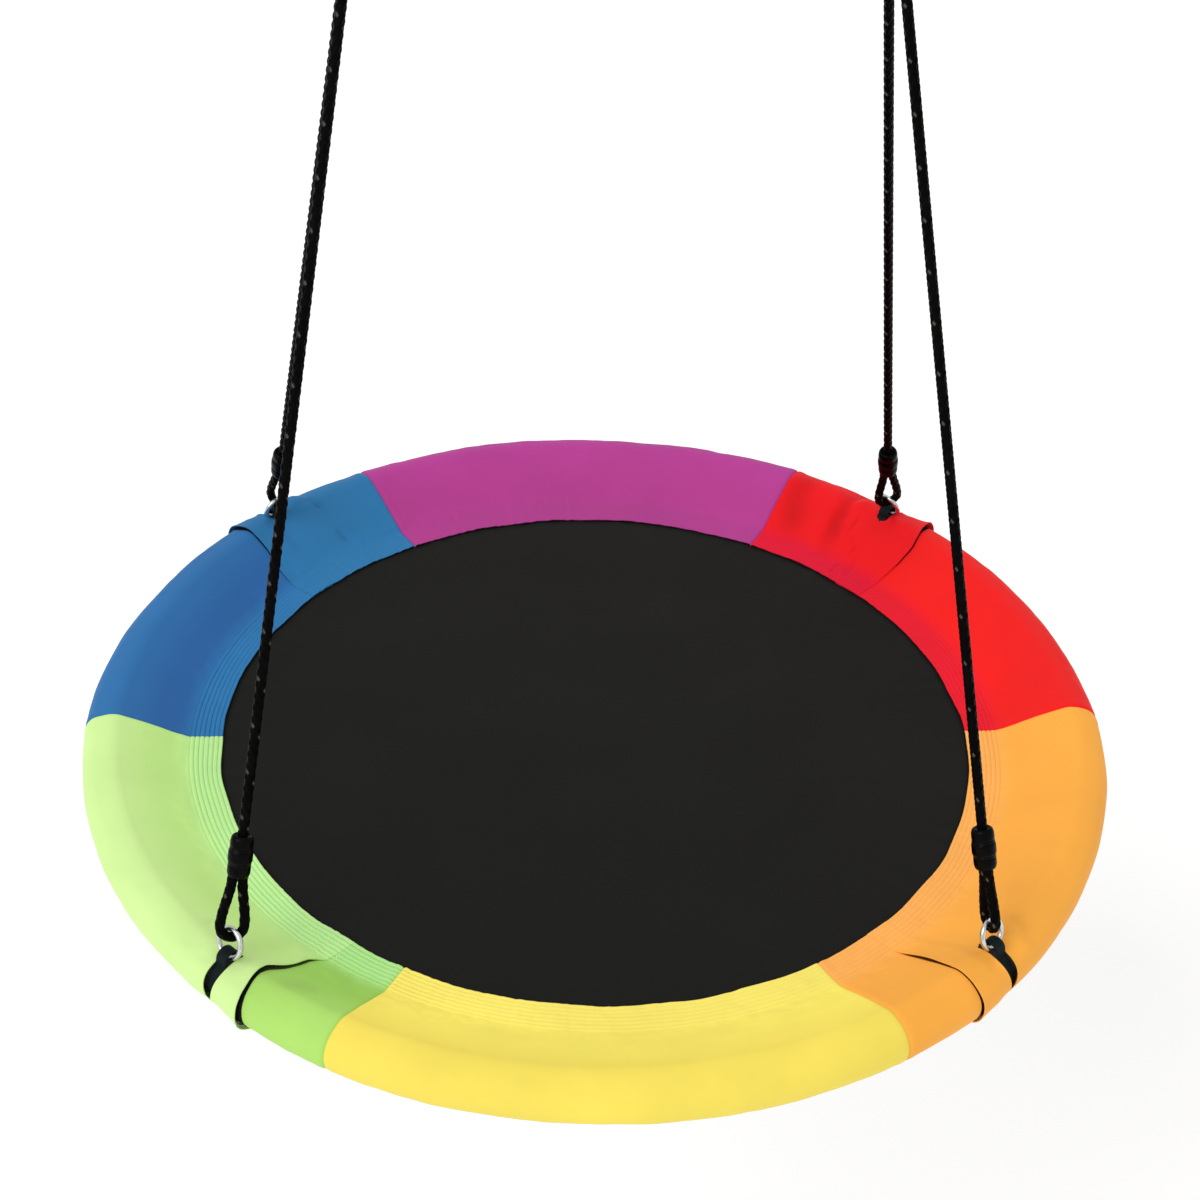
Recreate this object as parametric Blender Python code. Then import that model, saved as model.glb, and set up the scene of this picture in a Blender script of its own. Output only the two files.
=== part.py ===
"""Round saucer swing, one metre across, hung on four ropes.

A ring of four steel tubes is padded with foam and covered in six colours of cloth, with a black seat
stretched inside it. A strap round the rim at each of four ports holds a steel ring and the spliced eye
of a rope. The ropes meet in pairs on two hang rings, and each hang ring hangs in a carabiner.

Metres, +Z up, +X to the rider's right, -Y at the front. The origin is midway between the two
carabiners, level with the inside of their top bows, which is where the beam's hardware carries them.
"""

import math

import bmesh
import bpy
from mathutils import Matrix, Vector

# The ring, seen from above. Heights called "rise" are measured from the seat's top.
SEAT_TOP_Z = -1.008
SEAT_RADIUS = 0.371
STITCH_RADIUS = 0.401
TUBE_RADIUS = 0.475
TUBE_RISE = 0.009
FACET_DEG = 7.5
ROUND_DEG = 30
LEAST_STEP_DEG = 0.3
SHARP_DEG = 40
GAP = 0.0003

# Layers of the rim, as radii about the middle of its steel tube
STEEL_OUTER = 0.0127
STEEL_WALL = 0.0015
FOAM_INNER = 0.0135
FOAM_OUTER = 0.0210
STRAP_INNER = 0.0217
STRAP_OUTER = 0.0235
COVER_OUTER = 0.0250
COVER_THICKNESS = 0.0010

# The seat and the cloth sewn to it
SEAT_THICKNESS = 0.0020
SEAT_STEP = 0.0006
SEAT_INNER_RADIUS = 0.05
SEAT_MARGIN_INSET = 0.001
LINING_START_DEG = -92

# Steel tube joints
JOINT_OFFSET_DEG = 5.0
SPIGOT_DEG = 3.6
SPIGOT_OUTER = STEEL_OUTER - STEEL_WALL - GAP
FOAM_BREAK_DEG = 1.8
SCREW_RADIUS = 0.0025
SCREW_HEAD_RADIUS = 0.0045
SCREW_HEAD_HEIGHT = 0.0022
SCREW_LENGTH = 0.007

# Cover laps and slots at the ports
LAP_LIFT = COVER_THICKNESS + GAP
LAP_STEP_DEG = (1.9, 2.3)
UNDER_END_DEG = 2.6
FREE_EDGE_DEG = 5.8
SLOT_WIDTH = 0.027
SLOT_INNER_RADIUS = 0.458
SLOT_LOWEST_RISE = 0.002

# Hanging hardware. The pivot is where a lower ring bears on its strap.
PIVOT_RADIUS = 0.4769
PIVOT_RISE = 0.0350
ROPE_LEAN_DEG = 20.5
STRAP_WIDTH = 0.012
APEX_INNER = 0.0076
LOWER_RING_RADIUS = 0.0135
LOWER_RING_WIRE = 0.0025
EYE_SLACK = 0.0008
HANG_RING_RADIUS = 0.024
HANG_RING_WIRE = 0.004
HANG_SPACING = 0.404
ROPE_DIAMETER = 0.0085
EYE_WIDTH = 0.0215
LOWER_EYE_LENGTH = 0.057
UPPER_EYE_LENGTH = 0.060
FERRULE_LENGTH = 0.039
FERRULE_RADIUS = 0.0102
FERRULE_END_RADIUS = 0.0080
FERRULE_ROUNDING = 0.0050
ROPE_STEP = 0.026

# Carabiners: a bow at each end, and a sprung gate in the outer side
CARABINER_WIRE = 0.004
CARABINER_HALF_WIDTH = 0.017
CARABINER_LENGTH = 0.072
GATE_RADIUS = 0.0033
GATE_ENDS = (0.0185, 0.0545)
GATE_TONGUE = 0.0030
GATE_PIN_RADIUS = 0.0012
GATE_PIN_LENGTH = 0.0076
GATE_NOSE_GAP = 0.0005
GATE_TAIL = 0.0030
FORK_LENGTH = 0.0045
FORK_SLOT_DEPTH = 0.0050
TONGUE_LENGTH = 0.0060
CUTTER_REACH = 0.010

# name, degrees round the ring, the way the cover's free edge faces (+1 is anticlockwise from above),
# and how far the lower eye and the lower ring are turned about the rope
PORTS = (
    ("back_right", 45.0, -1, -34.0, 0.0),
    ("back_left", 135.0, +1, 0.0, 0.0),
    ("front_left", 225.0, +1, -32.0, 0.0),
    ("front_right", 315.0, -1, -28.0, 0.0),
)

# What each port's colour is, the degree it starts at, and its upper and lower pieces
LAPS = {
    "back_right": ("red", 0, "back", "side"),
    "back_left": ("blue", 120, "back", "side"),
    "front_left": ("green", 180, "side", "front"),
    "front_right": ("orange", 300, "side", "front"),
}
COLOUR_DEG = 60

SWING_AXIS_Z = CARABINER_WIRE - CARABINER_LENGTH
HANG_RING_Z = SWING_AXIS_Z + CARABINER_WIRE + HANG_RING_WIRE + GAP - HANG_RING_RADIUS


def rim_point(radius, rise, angle):
    """A point of the ring, whose outline seen from above is a regular polygon of FACET_DEG facets."""
    within = math.radians(angle % FACET_DEG - FACET_DEG / 2)
    inset = math.cos(math.radians(FACET_DEG / 2)) / math.cos(within)
    turn = math.radians(angle)
    return Vector((radius * inset * math.cos(turn), radius * inset * math.sin(turn), SEAT_TOP_Z + rise))


def stations(start, end):
    """The angles of a sweep: its two ends and the polygon's corners between them."""
    first = math.ceil((start + LEAST_STEP_DEG) / FACET_DEG)
    last = math.floor((end - LEAST_STEP_DEG) / FACET_DEG)
    return [start, *[k * FACET_DEG for k in range(first, last + 1)], end]


def on_round(radius, angle):
    """(radius from the ring's axis, rise) of a point on a 12-sided section about the steel tube."""
    half = math.radians(ROUND_DEG / 2)
    inset = math.cos(half) / math.cos(math.radians(angle % ROUND_DEG) - half)
    turn = math.radians(angle)
    return TUBE_RADIUS + radius * inset * math.cos(turn), TUBE_RISE + radius * inset * math.sin(turn)


def port_frame(angle):
    """Axes at a port: X outward, Y along the rim, Z up, from the seat's centre."""
    return Matrix.Translation((0, 0, SEAT_TOP_Z)) @ Matrix.Rotation(math.radians(angle), 4, "Z")


def finish(name, colour, roughness, metallic=0.0):
    """A plain material for one object."""
    material = bpy.data.materials.new(name)
    material.use_nodes = True
    shader = material.node_tree.nodes["Principled BSDF"]
    shader.inputs["Base Color"].default_value = (*colour, 1.0)
    shader.inputs["Roughness"].default_value = roughness
    shader.inputs["Metallic"].default_value = metallic
    return material


CLOTH = {
    "magenta": (0.440, 0.050, 0.263),
    "red": (0.807, 0.010, 0.014),
    "orange": (0.939, 0.418, 0.061),
    "yellow": (0.947, 0.799, 0.136),
    "green": (0.571, 0.831, 0.296),
    "blue": (0.031, 0.136, 0.402),
    "black": (0.018, 0.017, 0.017),
}
FINISHES = {
    **{name: (colour, 0.75, 0.0) for name, colour in CLOTH.items()},
    "foam": ((0.10, 0.10, 0.11), 0.9, 0.0),
    "steel": ((0.62, 0.63, 0.64), 0.3, 1.0),
    "coated_steel": ((0.03, 0.03, 0.03), 0.45, 0.6),
    "rope": ((0.012, 0.012, 0.012), 0.85, 0.0),
    "strap": ((0.014, 0.014, 0.015), 0.7, 0.0),
    "plastic": ((0.010, 0.010, 0.010), 0.4, 0.0),
}


def add_object(name, data, finish_name, pivot):
    """Links an object that is built in world positions, with its origin moved to its pivot."""
    data.transform(Matrix.Translation(-pivot.matrix_world.translation))
    piece = bpy.data.objects.new(name, data)
    data.materials.append(finish(name, *FINISHES[finish_name]))
    bpy.context.scene.collection.objects.link(piece)
    piece.parent = pivot
    return piece


def add_mesh(name, bm, finish_name, pivot):
    bmesh.ops.recalc_face_normals(bm, faces=bm.faces)
    mesh = bpy.data.meshes.new(name)
    bm.to_mesh(mesh)
    bm.free()
    mesh.shade_smooth()
    mesh.set_sharp_from_angle(angle=math.radians(SHARP_DEG))
    return add_object(name, mesh, finish_name, pivot)


def add_pivot(name, place, parent=None):
    """An empty on a joint's axis."""
    empty = bpy.data.objects.new(name, None)
    bpy.context.scene.collection.objects.link(empty)
    empty.parent = parent
    empty.location = Vector(place) - (parent.matrix_world.translation if parent else Vector())
    bpy.context.view_layer.update()
    return empty


def join_loops(bm, first, second):
    """Side faces between two loops of corners."""
    for i, corner in enumerate(first):
        j = (i + 1) % len(first)
        bm.faces.new((corner, first[j], second[j], second[i]))


def add_swept(name, sections, finish_name, pivot, closed=False):
    """A solid swept round the ring. Each section is (angle, its outline)."""
    bm = bmesh.new()
    loops = [[bm.verts.new(rim_point(*corner, angle)) for corner in outline] for angle, outline in sections]
    for first, second in zip(loops, loops[1:] + loops[:1] if closed else loops[1:]):
        join_loops(bm, first, second)
    if not closed:
        bm.faces.new(loops[0])
        bm.faces.new(loops[-1])
    return add_mesh(name, bm, finish_name, pivot)


def add_pipe(name, sections, sides, finish_name, pivot):
    """A hollow tube swept round the ring. Each section is (angle, outer radius, inner radius)."""
    bm = bmesh.new()
    turns = [math.tau * k / sides for k in range(sides)]

    def loop(angle, radius):
        return [
            bm.verts.new(
                rim_point(TUBE_RADIUS + radius * math.cos(turn), TUBE_RISE + radius * math.sin(turn), angle)
            )
            for turn in turns
        ]

    outer = [loop(angle, radius) for angle, radius, _ in sections]
    inner = [loop(angle, radius) for angle, _, radius in sections]
    for wall in (outer, inner):
        for first, second in zip(wall, wall[1:]):
            join_loops(bm, first, second)
    for end in (0, -1):
        join_loops(bm, outer[end], inner[end])
    return add_mesh(name, bm, finish_name, pivot)


def add_bar(name, path, normal, radius, sides, finish_name, pivot, closed=False):
    """A round bar along a path that lies in one plane, whose normal is given."""
    bm = bmesh.new()
    loops = []
    for i, place in enumerate(path):
        before = path[i - 1] if closed or i else place
        after = path[(i + 1) % len(path)] if closed or i < len(path) - 1 else place
        side = normal.cross(after - before).normalized()
        turns = [math.tau * k / sides for k in range(sides)]
        loops.append(
            [bm.verts.new(place + radius * (math.cos(t) * side + math.sin(t) * normal)) for t in turns]
        )
    for first, second in zip(loops, loops[1:] + loops[:1] if closed else loops[1:]):
        join_loops(bm, first, second)
    if not closed:
        bm.faces.new(loops[0])
        bm.faces.new(loops[-1])
    return add_mesh(name, bm, finish_name, pivot)


def add_ring(name, centre, across, up, radius, wire, segments, pivot):
    """A closed steel ring in the plane of two unit vectors."""
    turns = [math.tau * k / segments for k in range(segments)]
    path = [centre + radius * (math.cos(t) * across + math.sin(t) * up) for t in turns]
    return add_bar(name, path, across.cross(up), wire, 8, "steel", pivot, closed=True)


def add_turned(name, base, axis, profile, sides, finish_name, pivot):
    """A solid of revolution. The profile is (radius, height) from its base, along the axis."""
    bm = bmesh.new()
    across = axis.orthogonal().normalized()
    other = axis.cross(across)
    turns = [math.tau * k / sides for k in range(sides)]
    rays = [math.cos(turn) * across + math.sin(turn) * other for turn in turns]
    loops = [[bm.verts.new(base + height * axis + radius * ray) for ray in rays] for radius, height in profile]
    for first, second in zip(loops, loops[1:]):
        join_loops(bm, first, second)
    bm.faces.new(loops[0])
    bm.faces.new(loops[-1])
    return add_mesh(name, bm, finish_name, pivot)


def add_cord(name, points, pivot):
    """A rope as a round tube with closed ends."""
    curve = bpy.data.curves.new(name, "CURVE")
    curve.dimensions = "3D"
    curve.bevel_depth = ROPE_DIAMETER / 2
    curve.bevel_resolution = 2
    curve.use_fill_caps = True
    spline = curve.splines.new("POLY")
    spline.points.add(len(points) - 1)
    for slot, place in zip(spline.points, points):
        slot.co = (*place, 1.0)
    return add_object(name, curve, "rope", pivot)


def add_cutter(name, bm):
    """A helper mesh that Booleans cut with."""
    mesh = bpy.data.meshes.new(name)
    bm.to_mesh(mesh)
    bm.free()
    helper = bpy.data.objects.new(name, mesh)
    bpy.context.scene.collection.objects.link(helper)
    helper.hide_render = True
    helper.display_type = "WIRE"
    return helper


def box_cutter(name, lowest, highest, frame):
    bm = bmesh.new()
    bmesh.ops.create_cube(bm, size=1.0)
    size = Vector(highest) - Vector(lowest)
    middle = (Vector(highest) + Vector(lowest)) / 2
    bm.transform(frame @ Matrix.Translation(middle) @ Matrix.Diagonal((*size, 1.0)))
    return add_cutter(name, bm)


def rod_cutter(name, start, end, radius, sides=12):
    bm = bmesh.new()
    run = end - start
    turn = run.to_track_quat("Z", "Y").to_matrix().to_4x4()
    bmesh.ops.create_cone(
        bm, cap_ends=True, segments=sides, radius1=radius, radius2=radius, depth=run.length
    )
    bm.transform(Matrix.Translation((start + end) / 2) @ turn)
    return add_cutter(name, bm)


def cut(piece, helper):
    modifier = piece.modifiers.new(helper.name, "BOOLEAN")
    modifier.operation = "DIFFERENCE"
    modifier.solver = "EXACT"
    modifier.object = helper


def cover_outline(lift=0.0):
    """The cover's section: flat where it is sewn to the seat, then up and round the rim to its underside."""
    turns = range(120, -91, -ROUND_DEG)
    top = COVER_THICKNESS - GAP + lift
    outside = [(SEAT_RADIUS, top), (STITCH_RADIUS, top + GAP)]
    outside += [on_round(COVER_OUTER + lift, turn) for turn in turns]
    inside = [(SEAT_RADIUS, lift - GAP), (STITCH_RADIUS, lift - GAP)]
    inside += [on_round(COVER_OUTER - COVER_THICKNESS + lift, turn) for turn in turns]
    return outside + inside[::-1]


def lining_outline():
    """The black underside, from the foot of the rim in to the seat's edge."""
    lowest = -SEAT_THICKNESS - GAP - COVER_THICKNESS
    under = [on_round(COVER_OUTER, turn) for turn in (LINING_START_DEG, -120)]
    under += [(STITCH_RADIUS, lowest), (SEAT_RADIUS, lowest)]
    over = [on_round(COVER_OUTER - COVER_THICKNESS, turn) for turn in (LINING_START_DEG, -120)]
    over += [(STITCH_RADIUS, lowest + COVER_THICKNESS), (SEAT_RADIUS, lowest + COVER_THICKNESS)]
    return under + over[::-1]


def seat_outline():
    """The seat's section, out to the margin that is sewn between the cover and the lining."""
    edge = SEAT_RADIUS - 2 * GAP
    margin = STITCH_RADIUS - SEAT_MARGIN_INSET
    flat = [(SEAT_INNER_RADIUS, -SEAT_THICKNESS), (margin, -SEAT_THICKNESS), (margin, -SEAT_STEP)]
    return [*flat, (edge, -SEAT_STEP), (edge, 0.0), (SEAT_INNER_RADIUS, 0.0)]


def add_seat(platform):
    """A solid disc: the inner ends of its section's top and bottom are closed by flat faces."""
    bm = bmesh.new()
    outline = seat_outline()
    angles = stations(0, 360)[:-1]
    loops = [[bm.verts.new(rim_point(*corner, angle)) for angle in angles] for corner in outline]
    for first, second in zip(loops, loops[1:]):
        join_loops(bm, first, second)
    bm.faces.new(loops[0])
    bm.faces.new(loops[-1])
    add_mesh("seat", bm, "black", platform)


def add_cover(name, start, end, colour, platform):
    """A plain length of cover between two seams."""
    half_gap = math.degrees(GAP / 2 / SEAT_RADIUS)
    angles = stations(start + half_gap, end - half_gap)
    return add_swept(name, [(angle, cover_outline()) for angle in angles], colour, platform)


def add_lapped_covers(name, port, way, platform):
    """A colour with a port in it: an upper piece that ends in a free edge, over the end of a lower one."""
    colour, start, upper_name, lower_name = LAPS[name]
    end = start + COLOUR_DEG
    half_gap = math.degrees(GAP / 2 / SEAT_RADIUS)
    step_from, step_to = (port + way * degrees for degrees in LAP_STEP_DEG)
    free_edge = port + way * FREE_EDGE_DEG
    under_end = port + way * UNDER_END_DEG
    if way > 0:
        plain = [(angle, 0.0) for angle in stations(start + half_gap, step_from)]
        lapped = [(angle, LAP_LIFT) for angle in stations(step_to, free_edge)]
        upper, lower = plain + lapped, stations(under_end, end - half_gap)
    else:
        lapped = [(angle, LAP_LIFT) for angle in stations(free_edge, step_to)]
        plain = [(angle, 0.0) for angle in stations(step_from, end - half_gap)]
        upper, lower = lapped + plain, stations(start + half_gap, under_end)
    over = add_swept(
        f"cover_{colour}_{upper_name}",
        [(angle, cover_outline(lift)) for angle, lift in upper],
        colour,
        platform,
    )
    add_swept(
        f"cover_{colour}_{lower_name}",
        [(angle, cover_outline()) for angle in lower],
        colour,
        platform,
    )
    slot = box_cutter(
        f"slot_cutter_{colour}",
        (SLOT_INNER_RADIUS, -SLOT_WIDTH / 2, SLOT_LOWEST_RISE),
        (TUBE_RADIUS + 2 * COVER_OUTER, SLOT_WIDTH / 2, 3 * COVER_OUTER),
        port_frame(port),
    )
    cut(over, slot)


def add_covers(platform):
    add_cover("cover_magenta", 60, 120, "magenta", platform)
    add_cover("cover_yellow", 240, 300, "yellow", platform)
    for name, port, way, _, _ in PORTS:
        add_lapped_covers(name, port, way, platform)
    lining = [(angle, lining_outline()) for angle in stations(0, 360)[:-1]]
    add_swept("lining", lining, "black", platform, closed=True)


def add_frame(platform):
    """Four equal tubes. Each ends in a narrower spigot that plugs into the next and is screwed there."""
    bore = STEEL_OUTER - STEEL_WALL
    small_gap = math.degrees(GAP / TUBE_RADIUS)
    tubes = []
    for k in range(4):
        start = 45 + 90 * k + JOINT_OFFSET_DEG
        end = start + 90
        body = [(angle, STEEL_OUTER, bore) for angle in stations(start + small_gap, end)]
        neck = [
            (angle, SPIGOT_OUTER, SPIGOT_OUTER - STEEL_WALL)
            for angle in stations(end + small_gap / 2, end + SPIGOT_DEG)
        ]
        body[-1] = (end - small_gap, STEEL_OUTER, bore)
        tubes.append(add_pipe(f"frame_tube_{k + 1}", body + neck, 8, "coated_steel", platform))
        foam_start = start + (SPIGOT_DEG + FOAM_BREAK_DEG) / 2
        foam_end = end + (SPIGOT_DEG - FOAM_BREAK_DEG) / 2
        foam = [(angle, FOAM_OUTER, FOAM_INNER) for angle in stations(foam_start, foam_end)]
        add_pipe(f"foam_sleeve_{k + 1}", foam, 12, "foam", platform)
    for k, tube in enumerate(tubes):
        angle = 45 + 90 * (k + 1) + JOINT_OFFSET_DEG + SPIGOT_DEG / 2
        frame = port_frame(angle)
        outward = (frame.to_3x3() @ Vector((1, 0, 0))).normalized()
        seat_of_head = frame @ Vector((TUBE_RADIUS + STEEL_OUTER + GAP, 0, TUBE_RISE))
        hole = rod_cutter(
            f"screw_cutter_{k + 1}",
            seat_of_head - 2 * SCREW_LENGTH * outward,
            seat_of_head + SCREW_LENGTH * outward,
            SCREW_RADIUS + GAP,
        )
        cut(tube, hole)
        cut(tubes[(k + 1) % 4], hole)
        shank = [(SCREW_RADIUS, -SCREW_LENGTH), (SCREW_RADIUS, 0.0)]
        head = [(SCREW_HEAD_RADIUS, 0.0), (SCREW_HEAD_RADIUS, SCREW_HEAD_HEIGHT)]
        add_turned(f"frame_screw_{k + 1}", seat_of_head, outward, shank + head, 10, "steel", platform)


def strap_outline(round_radius, apex_radius):
    """The strap's loop, seen along the rim: round the foam and up over the lower ring's wire."""
    loop = [on_round(round_radius, turn) for turn in range(60, -241, -ROUND_DEG)]
    up = 90 + ROPE_LEAN_DEG
    for k in range(7):
        turn = math.radians(up + 90 - ROUND_DEG * k)
        loop.append((PIVOT_RADIUS + apex_radius * math.cos(turn), PIVOT_RISE + apex_radius * math.sin(turn)))
    return loop


def add_strap(name, port, platform):
    """A webbing loop round the padded rim, standing out of the cover's slot."""
    bm = bmesh.new()
    frame = port_frame(port)
    thickness = STRAP_OUTER - STRAP_INNER
    outer = strap_outline(STRAP_OUTER, APEX_INNER + thickness)
    inner = strap_outline(STRAP_INNER, APEX_INNER)
    edges = ((outer, -1), (outer, 1), (inner, 1), (inner, -1))
    loops = [
        [bm.verts.new(frame @ Vector((radius, way * STRAP_WIDTH / 2, rise))) for radius, rise in outline]
        for outline, way in edges
    ]
    for first, second in zip(loops, loops[1:] + loops[:1]):
        join_loops(bm, first, second)
    add_mesh(f"strap_{name}", bm, "strap", platform)


def eye_points(foot, along, across, length):
    """A rope eye: two legs side by side at the foot, spreading to a round end at the given length."""
    narrow = ROPE_DIAMETER / 2 + GAP
    wide = EYE_WIDTH / 2
    leg_length = length - wide
    leg = []
    for k in range(5):
        share = k / 5
        spread = narrow + (wide - narrow) * share * share * (3 - 2 * share)
        leg.append((spread, leg_length * share))
    half_round = [math.pi * k / 8 for k in range(9)]
    bend = [(wide * math.cos(turn), leg_length + wide * math.sin(turn)) for turn in half_round]
    other_leg = [(-spread, height) for spread, height in leg[::-1]]
    return [foot + spread * across + height * along for spread, height in leg + bend + other_leg]


def add_ferrule(name, base, axis, pivot):
    """A crimped sleeve with rounded ends."""
    profile = [
        (FERRULE_END_RADIUS, 0.0),
        (FERRULE_RADIUS, FERRULE_ROUNDING),
        (FERRULE_RADIUS, FERRULE_LENGTH - FERRULE_ROUNDING),
        (FERRULE_END_RADIUS, FERRULE_LENGTH),
    ]
    add_turned(name, base, axis, profile, 12, "plastic", pivot)


def rope_lean():
    """The ropes' lean to the front or back, in radians: it is where each eye lies on its hang ring."""
    reach = PIVOT_RADIUS * math.sin(math.radians(PORTS[0][1]))
    return math.atan2(reach, HANG_RING_Z - SEAT_TOP_Z - PIVOT_RISE)


def add_rope(name, port, eye_turn, ring_turn, ropes):
    """One rope with its two eyes and ferrules, and the steel ring that joins it to its strap."""
    frame = port_frame(port)
    radius = ROPE_DIAMETER / 2
    pivot_point = frame @ Vector((PIVOT_RADIUS, 0, PIVOT_RISE))
    ring_centre = Vector((math.copysign(HANG_SPACING / 2, pivot_point.x), 0, HANG_RING_Z))
    lean = math.copysign(rope_lean(), pivot_point.y)
    toward_rim = Vector((0, math.sin(lean), -math.cos(lean)))
    hang_point = ring_centre + (HANG_RING_RADIUS - HANG_RING_WIRE - radius - EYE_SLACK) * toward_rim
    up = (hang_point - pivot_point).normalized()

    along_rim = frame.to_3x3() @ Vector((0, 1, 0))
    along_rim = (along_rim - along_rim.dot(up) * up).normalized()
    ring_across = Matrix.Rotation(math.radians(ring_turn), 3, up) @ along_rim
    ring_middle = pivot_point + LOWER_RING_RADIUS * up
    add_ring(
        f"lower_ring_{name}", ring_middle, ring_across, up, LOWER_RING_RADIUS, LOWER_RING_WIRE, 16, ropes
    )

    eye_across = Matrix.Rotation(math.radians(90 + eye_turn), 3, up) @ along_rim
    eye_end = 2 * LOWER_RING_RADIUS - LOWER_RING_WIRE - radius - EYE_SLACK
    foot = pivot_point + (eye_end + LOWER_EYE_LENGTH) * up
    add_cord(f"lower_eye_{name}", eye_points(foot, -up, eye_across, LOWER_EYE_LENGTH), ropes)
    add_ferrule(f"lower_ferrule_{name}", foot + GAP * up, up, ropes)
    rope_start = foot + (FERRULE_LENGTH + 2 * GAP) * up

    wire_run = Vector((1, 0, 0)).cross(toward_rim)
    sideways = wire_run.cross(up).normalized()
    top_foot = hang_point - UPPER_EYE_LENGTH * up
    add_cord(f"upper_eye_{name}", eye_points(top_foot, up, sideways, UPPER_EYE_LENGTH), ropes)
    add_ferrule(f"upper_ferrule_{name}", top_foot - (FERRULE_LENGTH + GAP) * up, up, ropes)
    rope_end = top_foot - (FERRULE_LENGTH + 2 * GAP) * up
    count = round((rope_end - rope_start).length / ROPE_STEP)
    add_cord(f"rope_{name}", [rope_start.lerp(rope_end, k / count) for k in range(count + 1)], ropes)


def add_carabiner(side, sign, beam):
    """An oval link in the XZ plane, with a sprung gate in its outer side."""
    middle = Vector((sign * HANG_SPACING / 2, 0, 0))
    out = Vector((sign, 0, 0))
    down = Vector((0, 0, -1))
    normal = Vector((0, 1, 0))
    top = CARABINER_WIRE - CARABINER_HALF_WIDTH
    bottom = CARABINER_WIRE - CARABINER_LENGTH + CARABINER_HALF_WIDTH
    hinge_end, nose_end = -GATE_ENDS[1], -GATE_ENDS[0]

    def place(offset, z):
        return middle + offset * out - z * down

    def bow(z, turns):
        return [
            place(CARABINER_HALF_WIDTH * math.cos(t), z + CARABINER_HALF_WIDTH * math.sin(t))
            for t in (math.pi * k / 8 for k in turns)
        ]

    path = [place(CARABINER_HALF_WIDTH, nose_end), *bow(top, range(9)), *bow(bottom, range(8, 17))]
    path.append(place(CARABINER_HALF_WIDTH, hinge_end + FORK_LENGTH))
    body = add_bar(f"carabiner_{side}", path, normal, CARABINER_WIRE, 8, "steel", beam)

    pin_place = place(CARABINER_HALF_WIDTH, hinge_end)
    fork = Matrix.Translation(pin_place)
    cut(
        body,
        box_cutter(
            f"fork_cutter_{side}",
            (-CUTTER_REACH, -GATE_TONGUE / 2 - GAP, -FORK_SLOT_DEPTH),
            (CUTTER_REACH, GATE_TONGUE / 2 + GAP, CUTTER_REACH),
            fork,
        ),
    )
    pin_from, pin_to = pin_place - CUTTER_REACH * normal, pin_place + CUTTER_REACH * normal
    cut(body, rod_cutter(f"pin_cutter_{side}", pin_from, pin_to, GATE_PIN_RADIUS + GAP))

    gate_pivot = add_pivot(f"gate_axis_{side}", pin_place, beam)
    gate_path = [pin_place + GATE_TAIL * down, place(CARABINER_HALF_WIDTH, nose_end - GATE_NOSE_GAP)]
    gate = add_bar(f"gate_{side}", gate_path, normal, GATE_RADIUS, 8, "steel", gate_pivot)
    for way in (-1, 1):
        nearest, furthest = sorted((way * GATE_TONGUE / 2, way * CUTTER_REACH))
        cheek = box_cutter(
            f"tongue_cutter_{side}_{'back' if way > 0 else 'front'}",
            (-CUTTER_REACH, nearest, -CUTTER_REACH),
            (CUTTER_REACH, furthest, TONGUE_LENGTH),
            fork,
        )
        cut(gate, cheek)
    cut(gate, rod_cutter(f"gate_pin_cutter_{side}", pin_from, pin_to, GATE_PIN_RADIUS + GAP))
    pin = [(GATE_PIN_RADIUS, 0.0), (GATE_PIN_RADIUS, GATE_PIN_LENGTH)]
    base = pin_place - GATE_PIN_LENGTH / 2 * normal
    add_turned(f"gate_pin_{side}", base, normal, pin, 10, "steel", beam)


def clear_scene():
    for piece in list(bpy.data.objects):
        bpy.data.objects.remove(piece)


def build():
    clear_scene()
    beam = add_pivot("beam", (0, 0, 0))
    swing = add_pivot("swing_axis", (0, 0, SWING_AXIS_Z), beam)
    pivot_x = PIVOT_RADIUS * math.cos(math.radians(PORTS[0][1]))
    sway_z = HANG_RING_Z - HANG_RING_RADIUS * math.cos(rope_lean())
    ropes = {
        side: add_pivot(f"sway_axis_{side}", (sign * HANG_SPACING / 2, 0, sway_z), swing)
        for side, sign in (("left", -1), ("right", 1))
    }
    platform = add_pivot("platform_axis", (-pivot_x, 0, SEAT_TOP_Z + PIVOT_RISE), ropes["left"])

    for side, sign in (("left", -1), ("right", 1)):
        add_carabiner(side, sign, beam)
        centre = Vector((sign * HANG_SPACING / 2, 0, HANG_RING_Z))
        across, up = Vector((0, 1, 0)), Vector((0, 0, 1))
        add_ring(f"hang_ring_{side}", centre, across, up, HANG_RING_RADIUS, HANG_RING_WIRE, 24, swing)
    for name, port, _, eye_turn, ring_turn in PORTS:
        add_rope(name, port, eye_turn, ring_turn, ropes[name.split("_")[1]])
        add_strap(name, port, platform)
    add_frame(platform)
    add_covers(platform)
    add_seat(platform)


build()
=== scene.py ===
"""Looks of the round saucer swing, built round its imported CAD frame.

Metres, +Z up, +X to the rider's right, -Y at the front. The origin is at the hang points, above the seat.
Places on the rim are given as an angle round the ring in degrees, and "run", the distance in metres from the
cover's inner edge over the rim to its underside.
"""

import math

import bmesh
import bpy
import numpy as np
from mathutils import Matrix, Vector


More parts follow.
